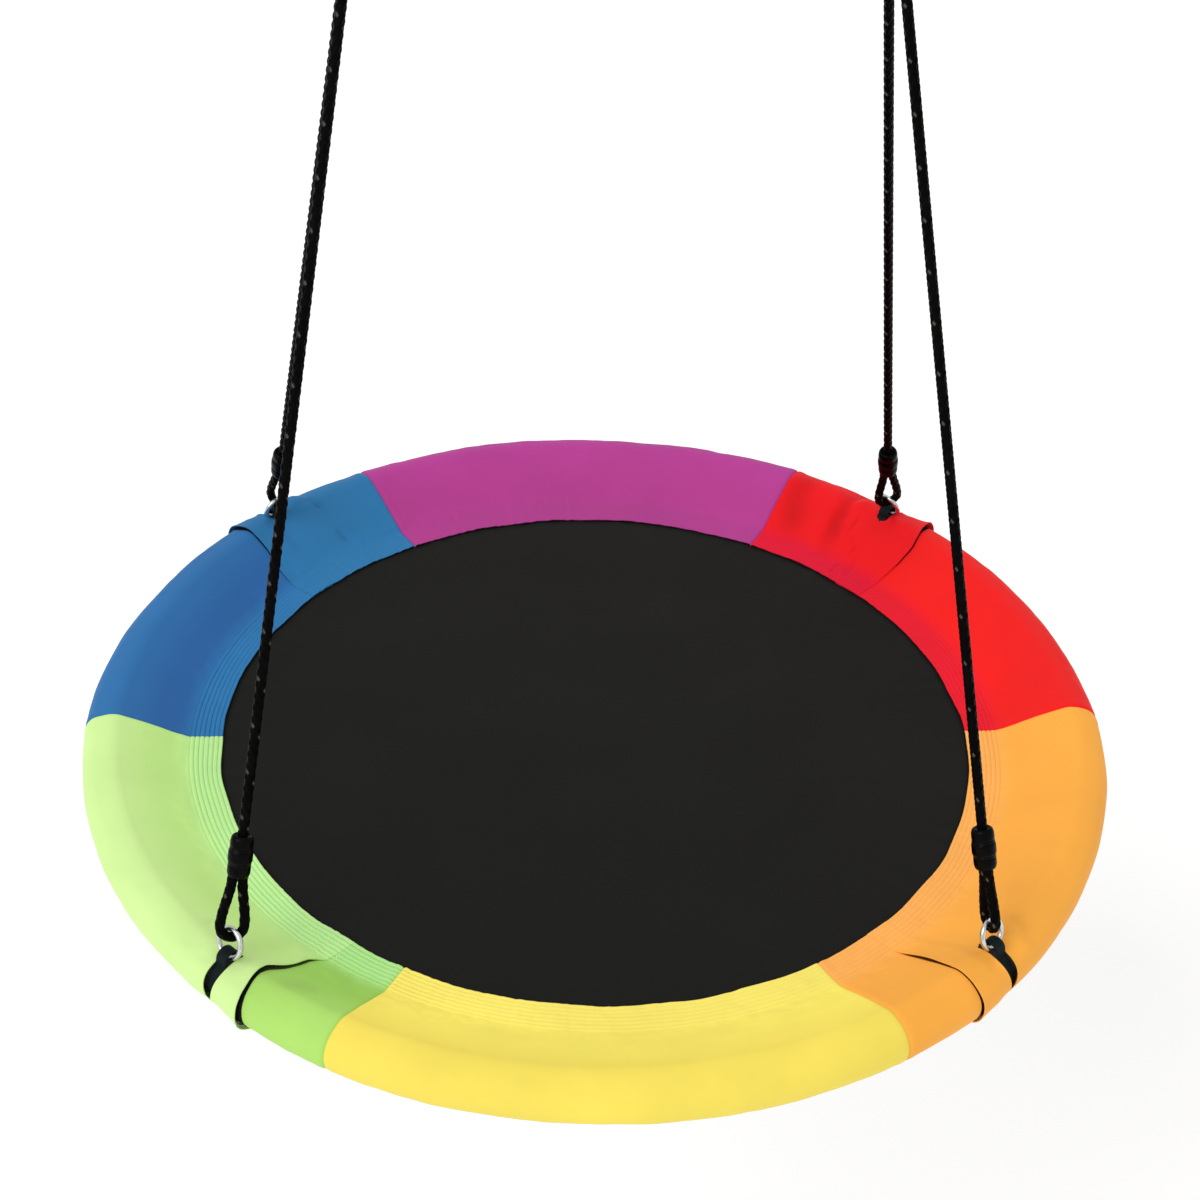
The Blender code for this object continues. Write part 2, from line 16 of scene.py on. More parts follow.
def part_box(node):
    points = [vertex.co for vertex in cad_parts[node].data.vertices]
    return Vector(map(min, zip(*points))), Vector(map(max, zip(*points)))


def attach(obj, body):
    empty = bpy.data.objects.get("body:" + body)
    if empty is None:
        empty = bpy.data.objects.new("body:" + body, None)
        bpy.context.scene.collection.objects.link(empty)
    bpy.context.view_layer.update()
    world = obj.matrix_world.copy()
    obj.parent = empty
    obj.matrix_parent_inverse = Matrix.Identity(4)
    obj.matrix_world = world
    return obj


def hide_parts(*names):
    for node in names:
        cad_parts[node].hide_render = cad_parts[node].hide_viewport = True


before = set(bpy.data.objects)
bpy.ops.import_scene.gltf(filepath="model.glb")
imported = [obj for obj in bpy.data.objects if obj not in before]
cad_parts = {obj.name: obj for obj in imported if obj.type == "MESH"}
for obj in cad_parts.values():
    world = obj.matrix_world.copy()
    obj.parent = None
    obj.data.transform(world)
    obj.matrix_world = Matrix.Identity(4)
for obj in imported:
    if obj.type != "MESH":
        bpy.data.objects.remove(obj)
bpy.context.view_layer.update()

# Sizes that the frame is built to
SEAT_TOP_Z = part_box("seat")[1].z
SEAT_RADIUS = 0.371
STITCH_RADIUS = 0.401
TUBE_RADIUS = 0.475
TUBE_RISE = 0.009
COVER_RADIUS = 0.0250
FOAM_RADII = (0.0210, 0.0135)
PIVOT_RADIUS = 0.4769
PIVOT_RISE = 0.0350
GAP = 0.0003
HANG_SPACING = 0.404
HANG_RING_RADIUS = 0.024
HANG_RING_WIRE = 0.004
LOWER_RING_RADIUS = 0.0135
LOWER_RING_WIRE = 0.0025
EYE_SLACK = 0.0008
EYE_WIDTH = 0.0215
ROPE_DIAMETER = 0.0085
LOWER_EYE_LENGTH = 0.057
UPPER_EYE_LENGTH = 0.060
FERRULE_LENGTH = 0.039
FERRULE_RADIUS = 0.0102
CARABINER_WIRE = 0.004
CARABINER_HALF_WIDTH = 0.017
CARABINER_LENGTH = 0.072
HANG_RING_Z = 2 * CARABINER_WIRE - CARABINER_LENGTH + HANG_RING_WIRE + GAP - HANG_RING_RADIUS

# name, angle, the way its free edge faces, and the turn of the lower eye about the rope
PORTS = (
    ("back_right", 45.0, -1, -34.0),
    ("back_left", 135.0, +1, 0.0),
    ("front_left", 225.0, +1, -32.0),
    ("front_right", 315.0, -1, -28.0),
)

ACROSS, UP = np.array([0.0, 1.0, 0.0]), np.array([0.0, 0.0, 1.0])
WHITE = (1.0, 1.0, 0.995, 1.0)
BLACK = (0.0060, 0.0060, 0.0047)
ROPE_BLACK = (0.0014, 0.0013, 0.0014)
ROPE_CREST_FLECK = (0.085, 0.072, 0.054)
ORANGE = ((0.960, 0.430, 0.098), (0.960, 0.415, 0.062), (0.960, 0.420, 0.060))
# Linear colours of each cover's cloth: on the sewn band, on the slope and over the rim. green_front is darker
# all over and darkest on its slope, and blue_side's slope is darker than its band: painted shade where those
# slopes face away from the light.
CLOTHS = {
    "magenta": ((0.430, 0.048, 0.260), (0.440, 0.047, 0.262), (0.450, 0.048, 0.285)),
    "yellow": ((0.930, 0.790, 0.150), (0.980, 0.830, 0.135), (0.880, 0.710, 0.107)),
    "red_back": ((0.760, 0.006, 0.034), (0.830, 0.008, 0.012), (0.830, 0.009, 0.014)),
    "red_side": ((0.800, 0.009, 0.026), (0.870, 0.013, 0.012), (0.860, 0.013, 0.012)),
    "orange_side": ORANGE,
    "orange_front": ORANGE,
    "green_side": ((0.500, 0.830, 0.310), (0.550, 0.840, 0.260), (0.610, 0.850, 0.320)),
    "green_front": ((0.420, 0.760, 0.260), (0.345, 0.640, 0.110), (0.410, 0.700, 0.150)),
    "blue_side": ((0.028, 0.185, 0.430), (0.026, 0.128, 0.370), (0.030, 0.160, 0.400)),
    "blue_back": ((0.028, 0.180, 0.400), (0.027, 0.178, 0.400), (0.027, 0.172, 0.390)),
}


# ---------------------------------------------------------------- camera, light and floor

CAMERA_PLACE = (-0.1221, -1.8331, 0.5455)
CAMERA_YAW, CAMERA_TILT, CAMERA_ROLL = -3.85, 51.57, 2.04
CAMERA_LENS = 72.2
CAMERA_RISE = 0.05
FLOOR_DROP = 1.1


def add_camera():
    data = bpy.data.cameras.new("camera")
    data.lens = CAMERA_LENS
    data.sensor_width = 36.0
    data.shift_y = CAMERA_RISE
    camera = bpy.data.objects.new("camera", data)
    bpy.context.scene.collection.objects.link(camera)
    turn = Matrix.Rotation(math.radians(CAMERA_YAW), 4, "Z")
    turn @= Matrix.Rotation(math.radians(CAMERA_TILT), 4, "X")
    turn @= Matrix.Rotation(math.radians(CAMERA_ROLL), 4, "Z")
    camera.matrix_world = Matrix.Translation(CAMERA_PLACE) @ turn
    bpy.context.scene.camera = camera


def add_sun(name, place, angle, strength):
    """A wide, soft light that shines from a place towards the origin."""
    data = bpy.data.lights.new(name, "SUN")
    data.angle = math.radians(angle)
    data.energy = strength
    lamp = bpy.data.objects.new(name, data)
    bpy.context.scene.collection.objects.link(lamp)
    lamp.rotation_euler = Vector(place).to_track_quat("Z", "Y").to_euler()


def add_studio():
    scene = bpy.context.scene
    scene.view_settings.view_transform = "Standard"
    scene.world = bpy.data.worlds.new("studio")
    scene.world.use_nodes = True
    background = scene.world.node_tree.nodes["Background"].inputs
    background["Color"].default_value = WHITE
    background["Strength"].default_value = 0.75
    add_sun("key", (-1.5, -1.3, 1.7), 38.0, 1.22)
    add_sun("back", (0.9, 1.6, 2.4), 40.0, 0.25)
    bm = bmesh.new()
    bmesh.ops.create_circle(bm, cap_ends=True, radius=12.0, segments=96)
    floor = link_object("floor", to_mesh("floor", bm))
    floor.location.z = SEAT_TOP_Z - FLOOR_DROP
    floor.data.materials.append(floor_material())


# ---------------------------------------------------------------- materials


class Shader:
    """A Principled material and short names for the nodes that feed it."""

    def __init__(self, name, colour, roughness, specular=0.5, metallic=0.0):
        self.material = bpy.data.materials.new(name)
        self.material.use_nodes = True
        self.tree = self.material.node_tree
        self.main = self.tree.nodes["Principled BSDF"]
        self.colour = colour
        self.fix("Base Color", (*colour, 1.0))
        self.fix("Roughness", roughness)
        self.fix("Specular IOR Level", specular)
        self.fix("Metallic", metallic)

    def fix(self, socket, value):
        self.main.inputs[socket].default_value = value

    def node(self, kind, **values):
        made = self.tree.nodes.new(kind)
        for key, value in values.items():
            if key in made.inputs:
                made.inputs[key].default_value = value
            else:
                setattr(made, key, value)
        return made

    def link(self, source, target):
        self.tree.links.new(source, target)

    def coordinates(self, scale, kind="Object"):
        """Object places, or UV in metres, times one scale or a scale for each axis."""
        place = self.node("ShaderNodeTexCoord")
        mapping = self.node("ShaderNodeMapping", Scale=scale if isinstance(scale, tuple) else (scale,) * 3)
        self.link(place.outputs[kind], mapping.inputs["Vector"])
        return mapping.outputs["Vector"]

    def texture(self, texture, coordinates, output="Fac", **values):
        made = self.node(f"ShaderNodeTex{texture}", Scale=1.0, **values)
        self.link(coordinates, made.inputs["Vector"])
        return made.outputs[output]

    def noise(self, scale, detail=3.0, kind="Object", roughness=0.5):
        return self.texture("Noise", self.coordinates(scale, kind), Detail=detail, Roughness=roughness)

    def wave(self, scale, direction):
        return self.texture("Wave", self.coordinates(scale, "UV"), bands_direction=direction)

    def math(self, operation, first, second):
        made = self.node("ShaderNodeMath", operation=operation)
        for slot, value in zip(made.inputs, (first, second)):
            if isinstance(value, float):
                slot.default_value = value
            else:
                self.link(value, slot)
        return made.outputs["Value"]

    def spread(self, source, low, high, to_low=0.0, to_high=1.0):
        made = self.node(
            "ShaderNodeMapRange", **{"From Min": low, "From Max": high, "To Min": to_low, "To Max": to_high}
        )
        self.link(source, made.inputs["Value"])
        return made.outputs["Result"]

    def mix(self, share, first, second):
        made = self.node("ShaderNodeMix", data_type="RGBA")
        self.link(share, made.inputs["Factor"])
        for slot, value in ((made.inputs[6], first), (made.inputs[7], second)):
            if isinstance(value, tuple):
                slot.default_value = (*value, 1.0)
            else:
                self.link(value, slot)
        return made.outputs[2]

    def scaled(self, colour, share):
        """A colour times a number."""
        made = self.node("ShaderNodeVectorMath", operation="SCALE")
        self.link(colour, made.inputs[0])
        self.link(share, made.inputs["Scale"])
        return made.outputs[0]

    def vary_colour(self, source, darker, lighter):
        """The base colour runs between two shares of its own brightness."""
        low, high = (tuple(min(1.0, c * share) for c in self.colour) for share in (darker, lighter))
        self.link(self.mix(source, low, high), self.main.inputs["Base Color"])

    def vary_roughness(self, source, low, high):
        self.link(self.spread(source, 0.3, 0.7, low, high), self.main.inputs["Roughness"])

    def finish(self, *layers):
        """The material with its bumps. Each layer is (height source, depth in metres, strength)."""
        before = None
        for source, depth, strength in layers:
            made = self.node("ShaderNodeBump", Strength=strength, Distance=depth)
            self.link(source, made.inputs["Height"])
            if before is not None:
                self.link(before, made.inputs["Normal"])
            before = made.outputs["Normal"]
        if before is not None:
            self.link(before, self.main.inputs["Normal"])
        return self.material


WEAVE_SCALE = 240.0
BAND_TO_SLOPE = (0.022, 0.044)
SLOPE_TO_RIM = (0.066, 0.112)
# How much darker the cloth is painted at the bottom of a crease or sewn groove: painted shade.
CREASE_PAINTED_SHADE = -0.34


def cloth_material(name, colours, sheen=0.05, roughness=0.66, specular=0.10):
    """Coated polyester: a plain weave under a thin coat, uneven in its dye, with painted shade in its creases
    and sewn grooves.
    The three colours follow the cloth over the rim, which its UV runs along in metres; where a slope colour
    is darker, it is painted shade."""
    shader = Shader(name, colours[1], roughness, specular)
    shader.fix("Sheen Weight", sheen)
    shader.fix("Sheen Roughness", 0.4)
    weave = shader.math("MULTIPLY", shader.wave(WEAVE_SCALE, "X"), shader.wave(WEAVE_SCALE, "Y"))
    fade = shader.noise(9.0, 4.0)
    fibre = shader.noise(900.0, 2.0, "UV")
    place = shader.node("ShaderNodeSeparateXYZ")
    shader.link(shader.coordinates(1.0, "UV"), place.inputs["Vector"])
    over_band = shader.spread(place.outputs["Y"], *BAND_TO_SLOPE)
    over_rim = shader.spread(place.outputs["Y"], *SLOPE_TO_RIM)
    # The cloth's own colours along the run, with painted shade in the darker slope colours of some pieces.
    dye_and_painted_shade = shader.mix(over_rim, shader.mix(over_band, colours[0], colours[1]), colours[2])
    # Painted shade: darker in the folds' creases and the sewn rows' grooves, as marked on the mesh.
    painted_crease_shade = shader.node("ShaderNodeAttribute", attribute_name="painted_crease_shade")
    uneven = shader.spread(fade, 0.3, 0.7, 0.94, 1.04)
    painted_shade = shader.math("MULTIPLY", painted_crease_shade.outputs["Fac"], CREASE_PAINTED_SHADE)
    share = shader.math("MULTIPLY", uneven, shader.math("ADD", painted_shade, 1.0))
    shader.link(shader.scaled(dye_and_painted_shade, share), shader.main.inputs["Base Color"])
    shader.vary_roughness(fade, roughness - 0.06, roughness + 0.06)
    return shader.finish((weave, 0.00016, 0.6), (fibre, 0.00006, 0.35))


def thread_material(name, colour):
    """Polyester sewing thread with its twist."""
    shader = Shader(name, colour, 0.5, 0.2)
    twist = shader.noise(2500.0, 1.0)
    shader.vary_colour(twist, 0.9, 1.1)
    return shader.finish((twist, 0.0001, 0.4))


def rope_material():
    """Braided polyethylene: faintly glossy black fibres, and pale flecks near the crests of one of the
    braid's eight strands, where the mesh marks them.
    """
    shader = Shader("rope_black", ROPE_BLACK, 0.36, 0.025)
    fibre = shader.noise((1800.0, 1800.0, 500.0), roughness=0.6)
    dust = shader.noise((60.0, 60.0, 25.0))
    dark, dusty = (tuple(share * value for value in ROPE_BLACK) for share in (0.7, 2.0))
    black = shader.mix(shader.spread(dust, 0.35, 0.75), dark, dusty)
    crest_fleck = shader.node("ShaderNodeAttribute", attribute_name="crest_fleck").outputs["Fac"]
    shader.link(shader.mix(crest_fleck, black, ROPE_CREST_FLECK), shader.main.inputs["Base Color"])
    shader.vary_roughness(fibre, 0.30, 0.5)
    return shader.finish((fibre, 0.00022, 0.6))


def webbing_material():
    """Black woven strap: ribs across it and finer yarns along it."""
    shader = Shader("webbing_black", (0.0040, 0.0085, 0.0095), 0.55, 0.08)
    rib, yarn = shader.wave(190.0, "X"), shader.wave(420.0, "Y")
    shader.vary_colour(shader.noise(90.0), 0.7, 1.8)
    return shader.finish((rib, 0.0003, 0.6), (yarn, 0.00015, 0.4))


def steel_material():
    """Zinc-plated steel, with a soft spangle and fine handling scratches."""
    shader = Shader("zinc_steel", (0.66, 0.67, 0.69), 0.26, metallic=1.0)
    spangle = shader.noise(260.0)
    shader.vary_colour(shader.spread(spangle, 0.3, 0.7), 0.90, 1.05)
    shader.vary_roughness(spangle, 0.21, 0.33)
    return shader.finish((shader.noise((900.0, 140.0, 2200.0), 2.0), 0.00004, 0.25))


def plastic_material():
    """Moulded black plastic with a fine spark-eroded grain."""
    shader = Shader("ferrule_plastic", (0.0014, 0.0014, 0.0015), 0.24, 0.05)
    wear = shader.noise(120.0, 4.0)
    shader.vary_colour(shader.spread(wear, 0.45, 0.8), 0.85, 2.4)
    shader.vary_roughness(wear, 0.18, 0.34)
    return shader.finish((shader.noise(1500.0, 2.0), 0.00008, 0.35))


def foam_material():
    """Closed-cell foam, dark grey, with small open pores on its cut skin."""
    shader = Shader("foam_grey", (0.045, 0.045, 0.048), 0.9)
    pores = shader.texture("Voronoi", shader.coordinates(420.0), "Distance")
    shader.vary_colour(pores, 0.7, 1.3)
    return shader.finish((pores, 0.0006, 0.6))


def coated_steel_material():
    """Black powder coat with its orange-peel surface."""
    shader = Shader("powder_coat", (0.014, 0.014, 0.015), 0.45)
    peel = shader.noise(450.0, 2.0)
    shader.vary_colour(peel, 0.85, 1.25)
    shader.vary_roughness(peel, 0.38, 0.52)
    return shader.finish((peel, 0.00012, 0.4))


def floor_material():
    """Pale seamless paper."""
    shader = Shader("floor_white", (0.96, 0.96, 0.955), 0.9, 0.0)
    shader.vary_colour(shader.noise(3.0, 2.0), 0.99, 1.0)
    shader.fix("Emission Color", WHITE)
    shader.fix("Emission Strength", 0.12)
    return shader.finish()


# ---------------------------------------------------------------- mesh helpers


def link_object(name, data):
    piece = bpy.data.objects.new(name, data)
    bpy.context.scene.collection.objects.link(piece)
    return piece


def to_mesh(name, bm):
    mesh = bpy.data.meshes.new(name)
    bm.to_mesh(mesh)
    bm.free()
    return mesh


def grid_faces(rows, columns, wrap_rows=False, wrap_columns=False):
    """Quads of a grid of points whose rows follow each other."""
    i = np.arange(rows if wrap_rows else rows - 1)
    j = np.arange(columns if wrap_columns else columns - 1)
    i, j = np.meshgrid(i, j, indexing="ij")
    down, right = (i + 1) % rows, (j + 1) % columns
    corners = (i * columns + j, i * columns + right, down * columns + right, down * columns + j)
    return np.stack([c.ravel() for c in corners], axis=1)


def volume_sign(points, faces):
    a, b, c, d = (points[faces[:, k]] for k in range(4))
    first = np.einsum("ij,ij->i", a, np.cross(b, c))
    second = np.einsum("ij,ij->i", a, np.cross(c, d))
    return float((first + second).sum())


def add_piece(name, points, faces, material, body, caps=(), uv=None, sharp=40.0, own_node=True):
    """A mesh from numpy points and quads, turned right side out where it is closed. It replaces the CAD
    node of its name, if it has one of its own."""
    points = np.asarray(points, float).reshape(-1, 3)
    if uv is None and volume_sign(points - points.mean(0), faces) < 0:
        faces = faces[:, ::-1]
        caps = [list(cap)[::-1] for cap in caps]
    mesh = bpy.data.meshes.new(name)
    mesh.from_pydata(points.tolist(), [], faces.tolist() + [list(cap) for cap in caps])
    mesh.update()
    if uv is not None:
        corners = np.empty(len(mesh.loops), np.int32)
        mesh.loops.foreach_get("vertex_index", corners)
        layer = mesh.uv_layers.new(name="UVMap")
        layer.data.foreach_set("uv", np.asarray(uv, np.float32)[corners].ravel())
    mesh.shade_smooth()
    mesh.set_sharp_from_angle(angle=math.radians(sharp))
    piece = link_object(f"fine_{name}", mesh)
    piece.data.materials.append(material)
    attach(piece, body)
    if own_node:
        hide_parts(name)
    return piece


def mark_points(piece, name, values):
    marks = piece.data.attributes.new(name, "FLOAT", "POINT")
    marks.data.foreach_set("value", values.astype(np.float32).ravel())


def thicken(piece, thickness, offset=-1.0):
    solidify = piece.modifiers.new("thickness", "SOLIDIFY")
    solidify.thickness, solidify.offset = thickness, offset


def unit(vector):
    return np.asarray(vector, float) / np.linalg.norm(vector)


def turned_about(vector, axis, degrees):
    return np.array(Matrix.Rotation(math.radians(degrees), 3, Vector(axis)) @ Vector(vector))


def at_rim(degrees):
    """Unit vectors outwards and along the rim at an angle."""
    x, y = math.cos(math.radians(degrees)), math.sin(math.radians(degrees))
    return np.array([x, y, 0.0]), np.array([-y, x, 0.0])


def circle(sides):
    turns = math.tau * np.arange(sides) / sides
    return np.stack([np.cos(turns), np.sin(turns)], 1)


def arc(centre, radius, start, end, count):
    turns = np.radians(np.linspace(start, end, count))
    return np.array(centre) + radius * np.stack([np.cos(turns), np.sin(turns)], 1)


def run_along(path):
    return np.concatenate([[0.0], np.cumsum(np.linalg.norm(np.diff(path, axis=0), axis=1))])


def places_at(path, runs):
    """Places on a path at distances along it."""
    return np.stack([np.interp(runs, run_along(path), column) for column in path.T], 1)


def end_caps(rows, sides):
    last = (rows - 1) * sides
    return range(sides), range(last + sides - 1, last - 1, -1)


def sweep(path, outline, normal, closed=False):
    """Points and quads of a closed outline, (sideways, along the normal), swept along a path that lies across
    the normal. The outline is the same all along, or there is one for each point of the path."""
    run = np.roll(path, -1, 0) - np.roll(path, 1, 0) if closed else np.gradient(path, axis=0)
    side = np.cross(normal, run)
    side /= np.linalg.norm(side, axis=1, keepdims=True)
    outline = np.broadcast_to(outline, (len(path), *np.shape(outline)[-2:]))
    points = path[:, None] + outline[..., :1] * side[:, None] + outline[..., 1:] * np.asarray(normal)
    return points.reshape(-1, 3), grid_faces(len(path), outline.shape[1], closed, True)


def tube(path, radii, normal, sides, closed=False):
    """Points, quads and end caps of a tube. radii is one number, one for each point, or for each side too."""
    radii = np.asarray(radii, float)
    outline = radii.reshape(radii.shape + (1,) * (3 - radii.ndim)) * circle(sides)
    points, faces = sweep(path, outline, normal, closed)
    return points, faces, () if closed else end_caps(len(path), sides)


def turned(base, axis, profile, sides, squeeze=1.0):
    """A turned solid. profile is (radius, height); squeeze flattens it along one side."""
    axis = unit(axis)
    across = unit(np.cross(axis, ACROSS if abs(axis[1]) < 0.9 else (1.0, 0.0, 0.0)))
    ring = circle(sides) @ np.array([across, squeeze * np.cross(axis, across)])
    profile = np.asarray(profile)
    points = np.asarray(base) + profile[:, 1, None, None] * axis + profile[:, 0, None, None] * ring
    rows = len(profile)
    return points.reshape(-1, 3), grid_faces(rows, sides, False, True), end_caps(rows, sides)


# ---------------------------------------------------------------- ropes, eyes, ferrules and rings

BRAID_STRANDS = 4
BRAID_PITCH = 0.0105
BRAID_STEP = 0.0009
BRAID_SIDES = 48


def braid(runs):
    """Radii of an eight-strand braid along it and round it, and where its pale flecks show near one strand's
    crests, from 0 to 1.
    """
    turns = np.arange(BRAID_SIDES) / BRAID_SIDES * BRAID_STRANDS
    u = turns[None, :] + runs[:, None] / BRAID_PITCH
    v = turns[None, :] - runs[:, None] / BRAID_PITCH
    round_u = 1 - np.abs(2 * (u % 1) - 1) ** 2.4
    round_v = 1 - np.abs(2 * (v % 1) - 1) ** 2.4
    over_u = np.cos(math.pi * (v - 0.5)) * (-1.0) ** np.floor(u)
    over_v = -np.cos(math.pi * (u - 0.5)) * (-1.0) ** np.floor(v)
    height = np.maximum(0.0007 * round_u + 0.0006 * over_u, 0.0007 * round_v + 0.0006 * over_v)
    crest_fleck = smooth((over_u - 0.60) / 0.15) * smooth((0.18 - np.abs(u % 1 - 0.5)) / 0.06)
    return ROPE_DIAMETER / 2 - 0.00075 + height, crest_fleck * (np.floor(u) % BRAID_STRANDS == 1)


def add_rope_length(name, path, normal, material, body):
    """A stretch of braided rope along a flat path."""
    length = float(run_along(path)[-1])
    even = np.linspace(0.0, length, max(8, round(length / BRAID_STEP)) + 1)
    fine = places_at(path, even)
    radii, crest_fleck = braid(even)
    points, faces, caps = tube(fine, radii, normal, BRAID_SIDES)
    piece = add_piece(name, points, faces, material, body, caps, sharp=80.0)
    mark_points(piece, "crest_fleck", crest_fleck)


def eye_path(foot, along, across, length):
    """A rope eye: two legs side by side at the foot, spreading to a round end at the given length."""
    narrow, wide = ROPE_DIAMETER / 2 + GAP, EYE_WIDTH / 2
    leg_length = length - wide
    share = np.linspace(0.0, 1.0, 40)[:-1]
    spread = narrow + (wide - narrow) * share * share * (3 - 2 * share)
    bend = np.linspace(0.0, math.pi, 40)
    tuck = 0.006 * np.array([1.0, 0.5])
    inside = narrow - 0.15 * tuck
    offsets = np.concatenate([inside, spread, wide * np.cos(bend), -spread[::-1], -inside[::-1]])
    heights = leg_length * share
    heights = np.concatenate([-tuck, heights, leg_length + wide * np.sin(bend), heights[::-1], -tuck[::-1]])
    return foot + offsets[:, None] * across + heights[:, None] * along


def ferrule_profile():
    """A barrel with round shoulders and two shallow grooves, as (radius, height)."""
    heights = np.linspace(0.0, 1.0, 49)
    edge = np.clip(np.minimum(heights, 1 - heights) / 0.17, 0.0, 1.0)
    radii = FERRULE_RADIUS * (0.74 + 0.26 * np.sqrt(1 - (1 - edge) ** 2))
    for groove in (0.30, 0.36, 0.66, 0.72):
        radii -= 0.0006 * np.exp(-(((heights - groove) / 0.018) ** 2))
    radii += 0.0007 * np.exp(-(((heights - 0.51) / 0.16) ** 4))
    inside = [(0.55 * FERRULE_RADIUS, 0.0012)]
    body = [(r, h * FERRULE_LENGTH) for r, h in zip(radii, heights)]
    return inside + body + [(0.55 * FERRULE_RADIUS, FERRULE_LENGTH - 0.0012)]


def add_ring_piece(name, centre, across, up, radius, wire, steel, body):
    """A round steel ring with the slight swelling of its weld."""
    turns = math.tau * np.arange(96) / 96
    path = centre + radius * circle(96) @ np.array([across, up])
    weld = bell(np.minimum(turns, math.tau - turns) / 0.09)
    points, faces, _ = tube(path, wire * (1 + 0.07 * weld), np.cross(across, up), 24, closed=True)
    add_piece(name, points, faces, steel, body)


FERRULE_SQUEEZE = 0.94
ROPE_TUCK = 0.004
# The ropes' lean to the front or back, in radians.
ROPE_LEAN = math.atan2(
    PIVOT_RADIUS * math.sin(math.radians(PORTS[0][1])), HANG_RING_Z - SEAT_TOP_Z - PIVOT_RISE
)


def add_rope(name, port, eye_turn, rope, plastic, steel):
    """One rope, its eyes, ferrules and lower ring, along the same route as in the frame."""
    body = f"ropes_{name.split('_')[1]}"
    radius = ROPE_DIAMETER / 2
    outward, along_rim = at_rim(port)
    pivot = PIVOT_RADIUS * outward + (SEAT_TOP_Z + PIVOT_RISE) * UP
    ring_centre = np.array([math.copysign(HANG_SPACING / 2, pivot[0]), 0.0, HANG_RING_Z])
    lean = math.copysign(ROPE_LEAN, pivot[1])
    toward_rim = np.array([0.0, math.sin(lean), -math.cos(lean)])
    hang_point = ring_centre + (HANG_RING_RADIUS - HANG_RING_WIRE - radius - EYE_SLACK) * toward_rim
    up = unit(hang_point - pivot)

    along_rim = unit(along_rim - along_rim.dot(up) * up)
    middle = pivot + LOWER_RING_RADIUS * up
    add_ring_piece(
        f"lower_ring_{name}", middle, along_rim, up, LOWER_RING_RADIUS, LOWER_RING_WIRE, steel, body
    )

    eye_across = turned_about(along_rim, up, 90 + eye_turn)
    eye_end = 2 * LOWER_RING_RADIUS - LOWER_RING_WIRE - radius - EYE_SLACK
    foot = pivot + (eye_end + LOWER_EYE_LENGTH) * up
    sideways = unit(np.cross(np.cross((1.0, 0.0, 0.0), toward_rim), up))
    top_foot = hang_point - UPPER_EYE_LENGTH * up
    for part, base in (("lower", foot + GAP * up), ("upper", top_foot - (FERRULE_LENGTH + GAP) * up)):
        points, faces, caps = turned(base, up, ferrule_profile(), 40, FERRULE_SQUEEZE)
        add_piece(f"{part}_ferrule_{name}", points, faces, plastic, body, caps)

    lower_eye = eye_path(foot, -up, eye_across, LOWER_EYE_LENGTH)
    upper_eye = eye_path(top_foot, up, sideways, UPPER_EYE_LENGTH)
    rope_start = foot + (FERRULE_LENGTH + 2 * GAP) * up
    rope_end = top_foot - (FERRULE_LENGTH + 2 * GAP) * up
    stretch = np.array([rope_start - ROPE_TUCK * up, rope_end + ROPE_TUCK * up])
    for node, path, normal, leaves in (
        (f"lower_eye_{name}", lower_eye, np.cross(up, eye_across), foot),
        (f"upper_eye_{name}", upper_eye, np.cross(up, sideways), top_foot),
        (f"rope_{name}", stretch, eye_across, rope_start),
    ):
        add_rope_length(node, path, normal, rope, body)


# ---------------------------------------------------------------- carabiners

GATE_RADIUS = 0.0033
GATE_ENDS = (0.0185, 0.0545)
GATE_TONGUE = 0.0030
GATE_PIN_RADIUS = 0.0012
GATE_PIN_LENGTH = 0.0076


def carve(piece, low, high, place):
    """Cuts a box out of a piece and applies the cut."""
    bm = bmesh.new()
    bmesh.ops.create_cube(bm, size=1.0)
    size, middle = Vector(high) - Vector(low), (Vector(high) + Vector(low)) / 2
    bm.transform(Matrix.Translation(place) @ Matrix.Translation(middle) @ Matrix.Diagonal((*size, 1.0)))
    cutter = link_object("cutter", to_mesh("cutter", bm))
    modifier = piece.modifiers.new("cut", "BOOLEAN")
    modifier.operation = "DIFFERENCE"
    modifier.object = cutter
    bpy.context.view_layer.update()
    mesh = bpy.data.meshes.new_from_object(piece.evaluated_get(bpy.context.evaluated_depsgraph_get()))
    piece.modifiers.clear()
    piece.data = mesh
    bpy.data.objects.remove(cutter)
    mesh.set_sharp_from_angle(angle=math.radians(35))


def bevel(piece, width):
    modifier = piece.modifiers.new("edge", "BEVEL")
    modifier.width = width
    modifier.segments = 2
    modifier.limit_method = "ANGLE"
    modifier.angle_limit = math.radians(50)


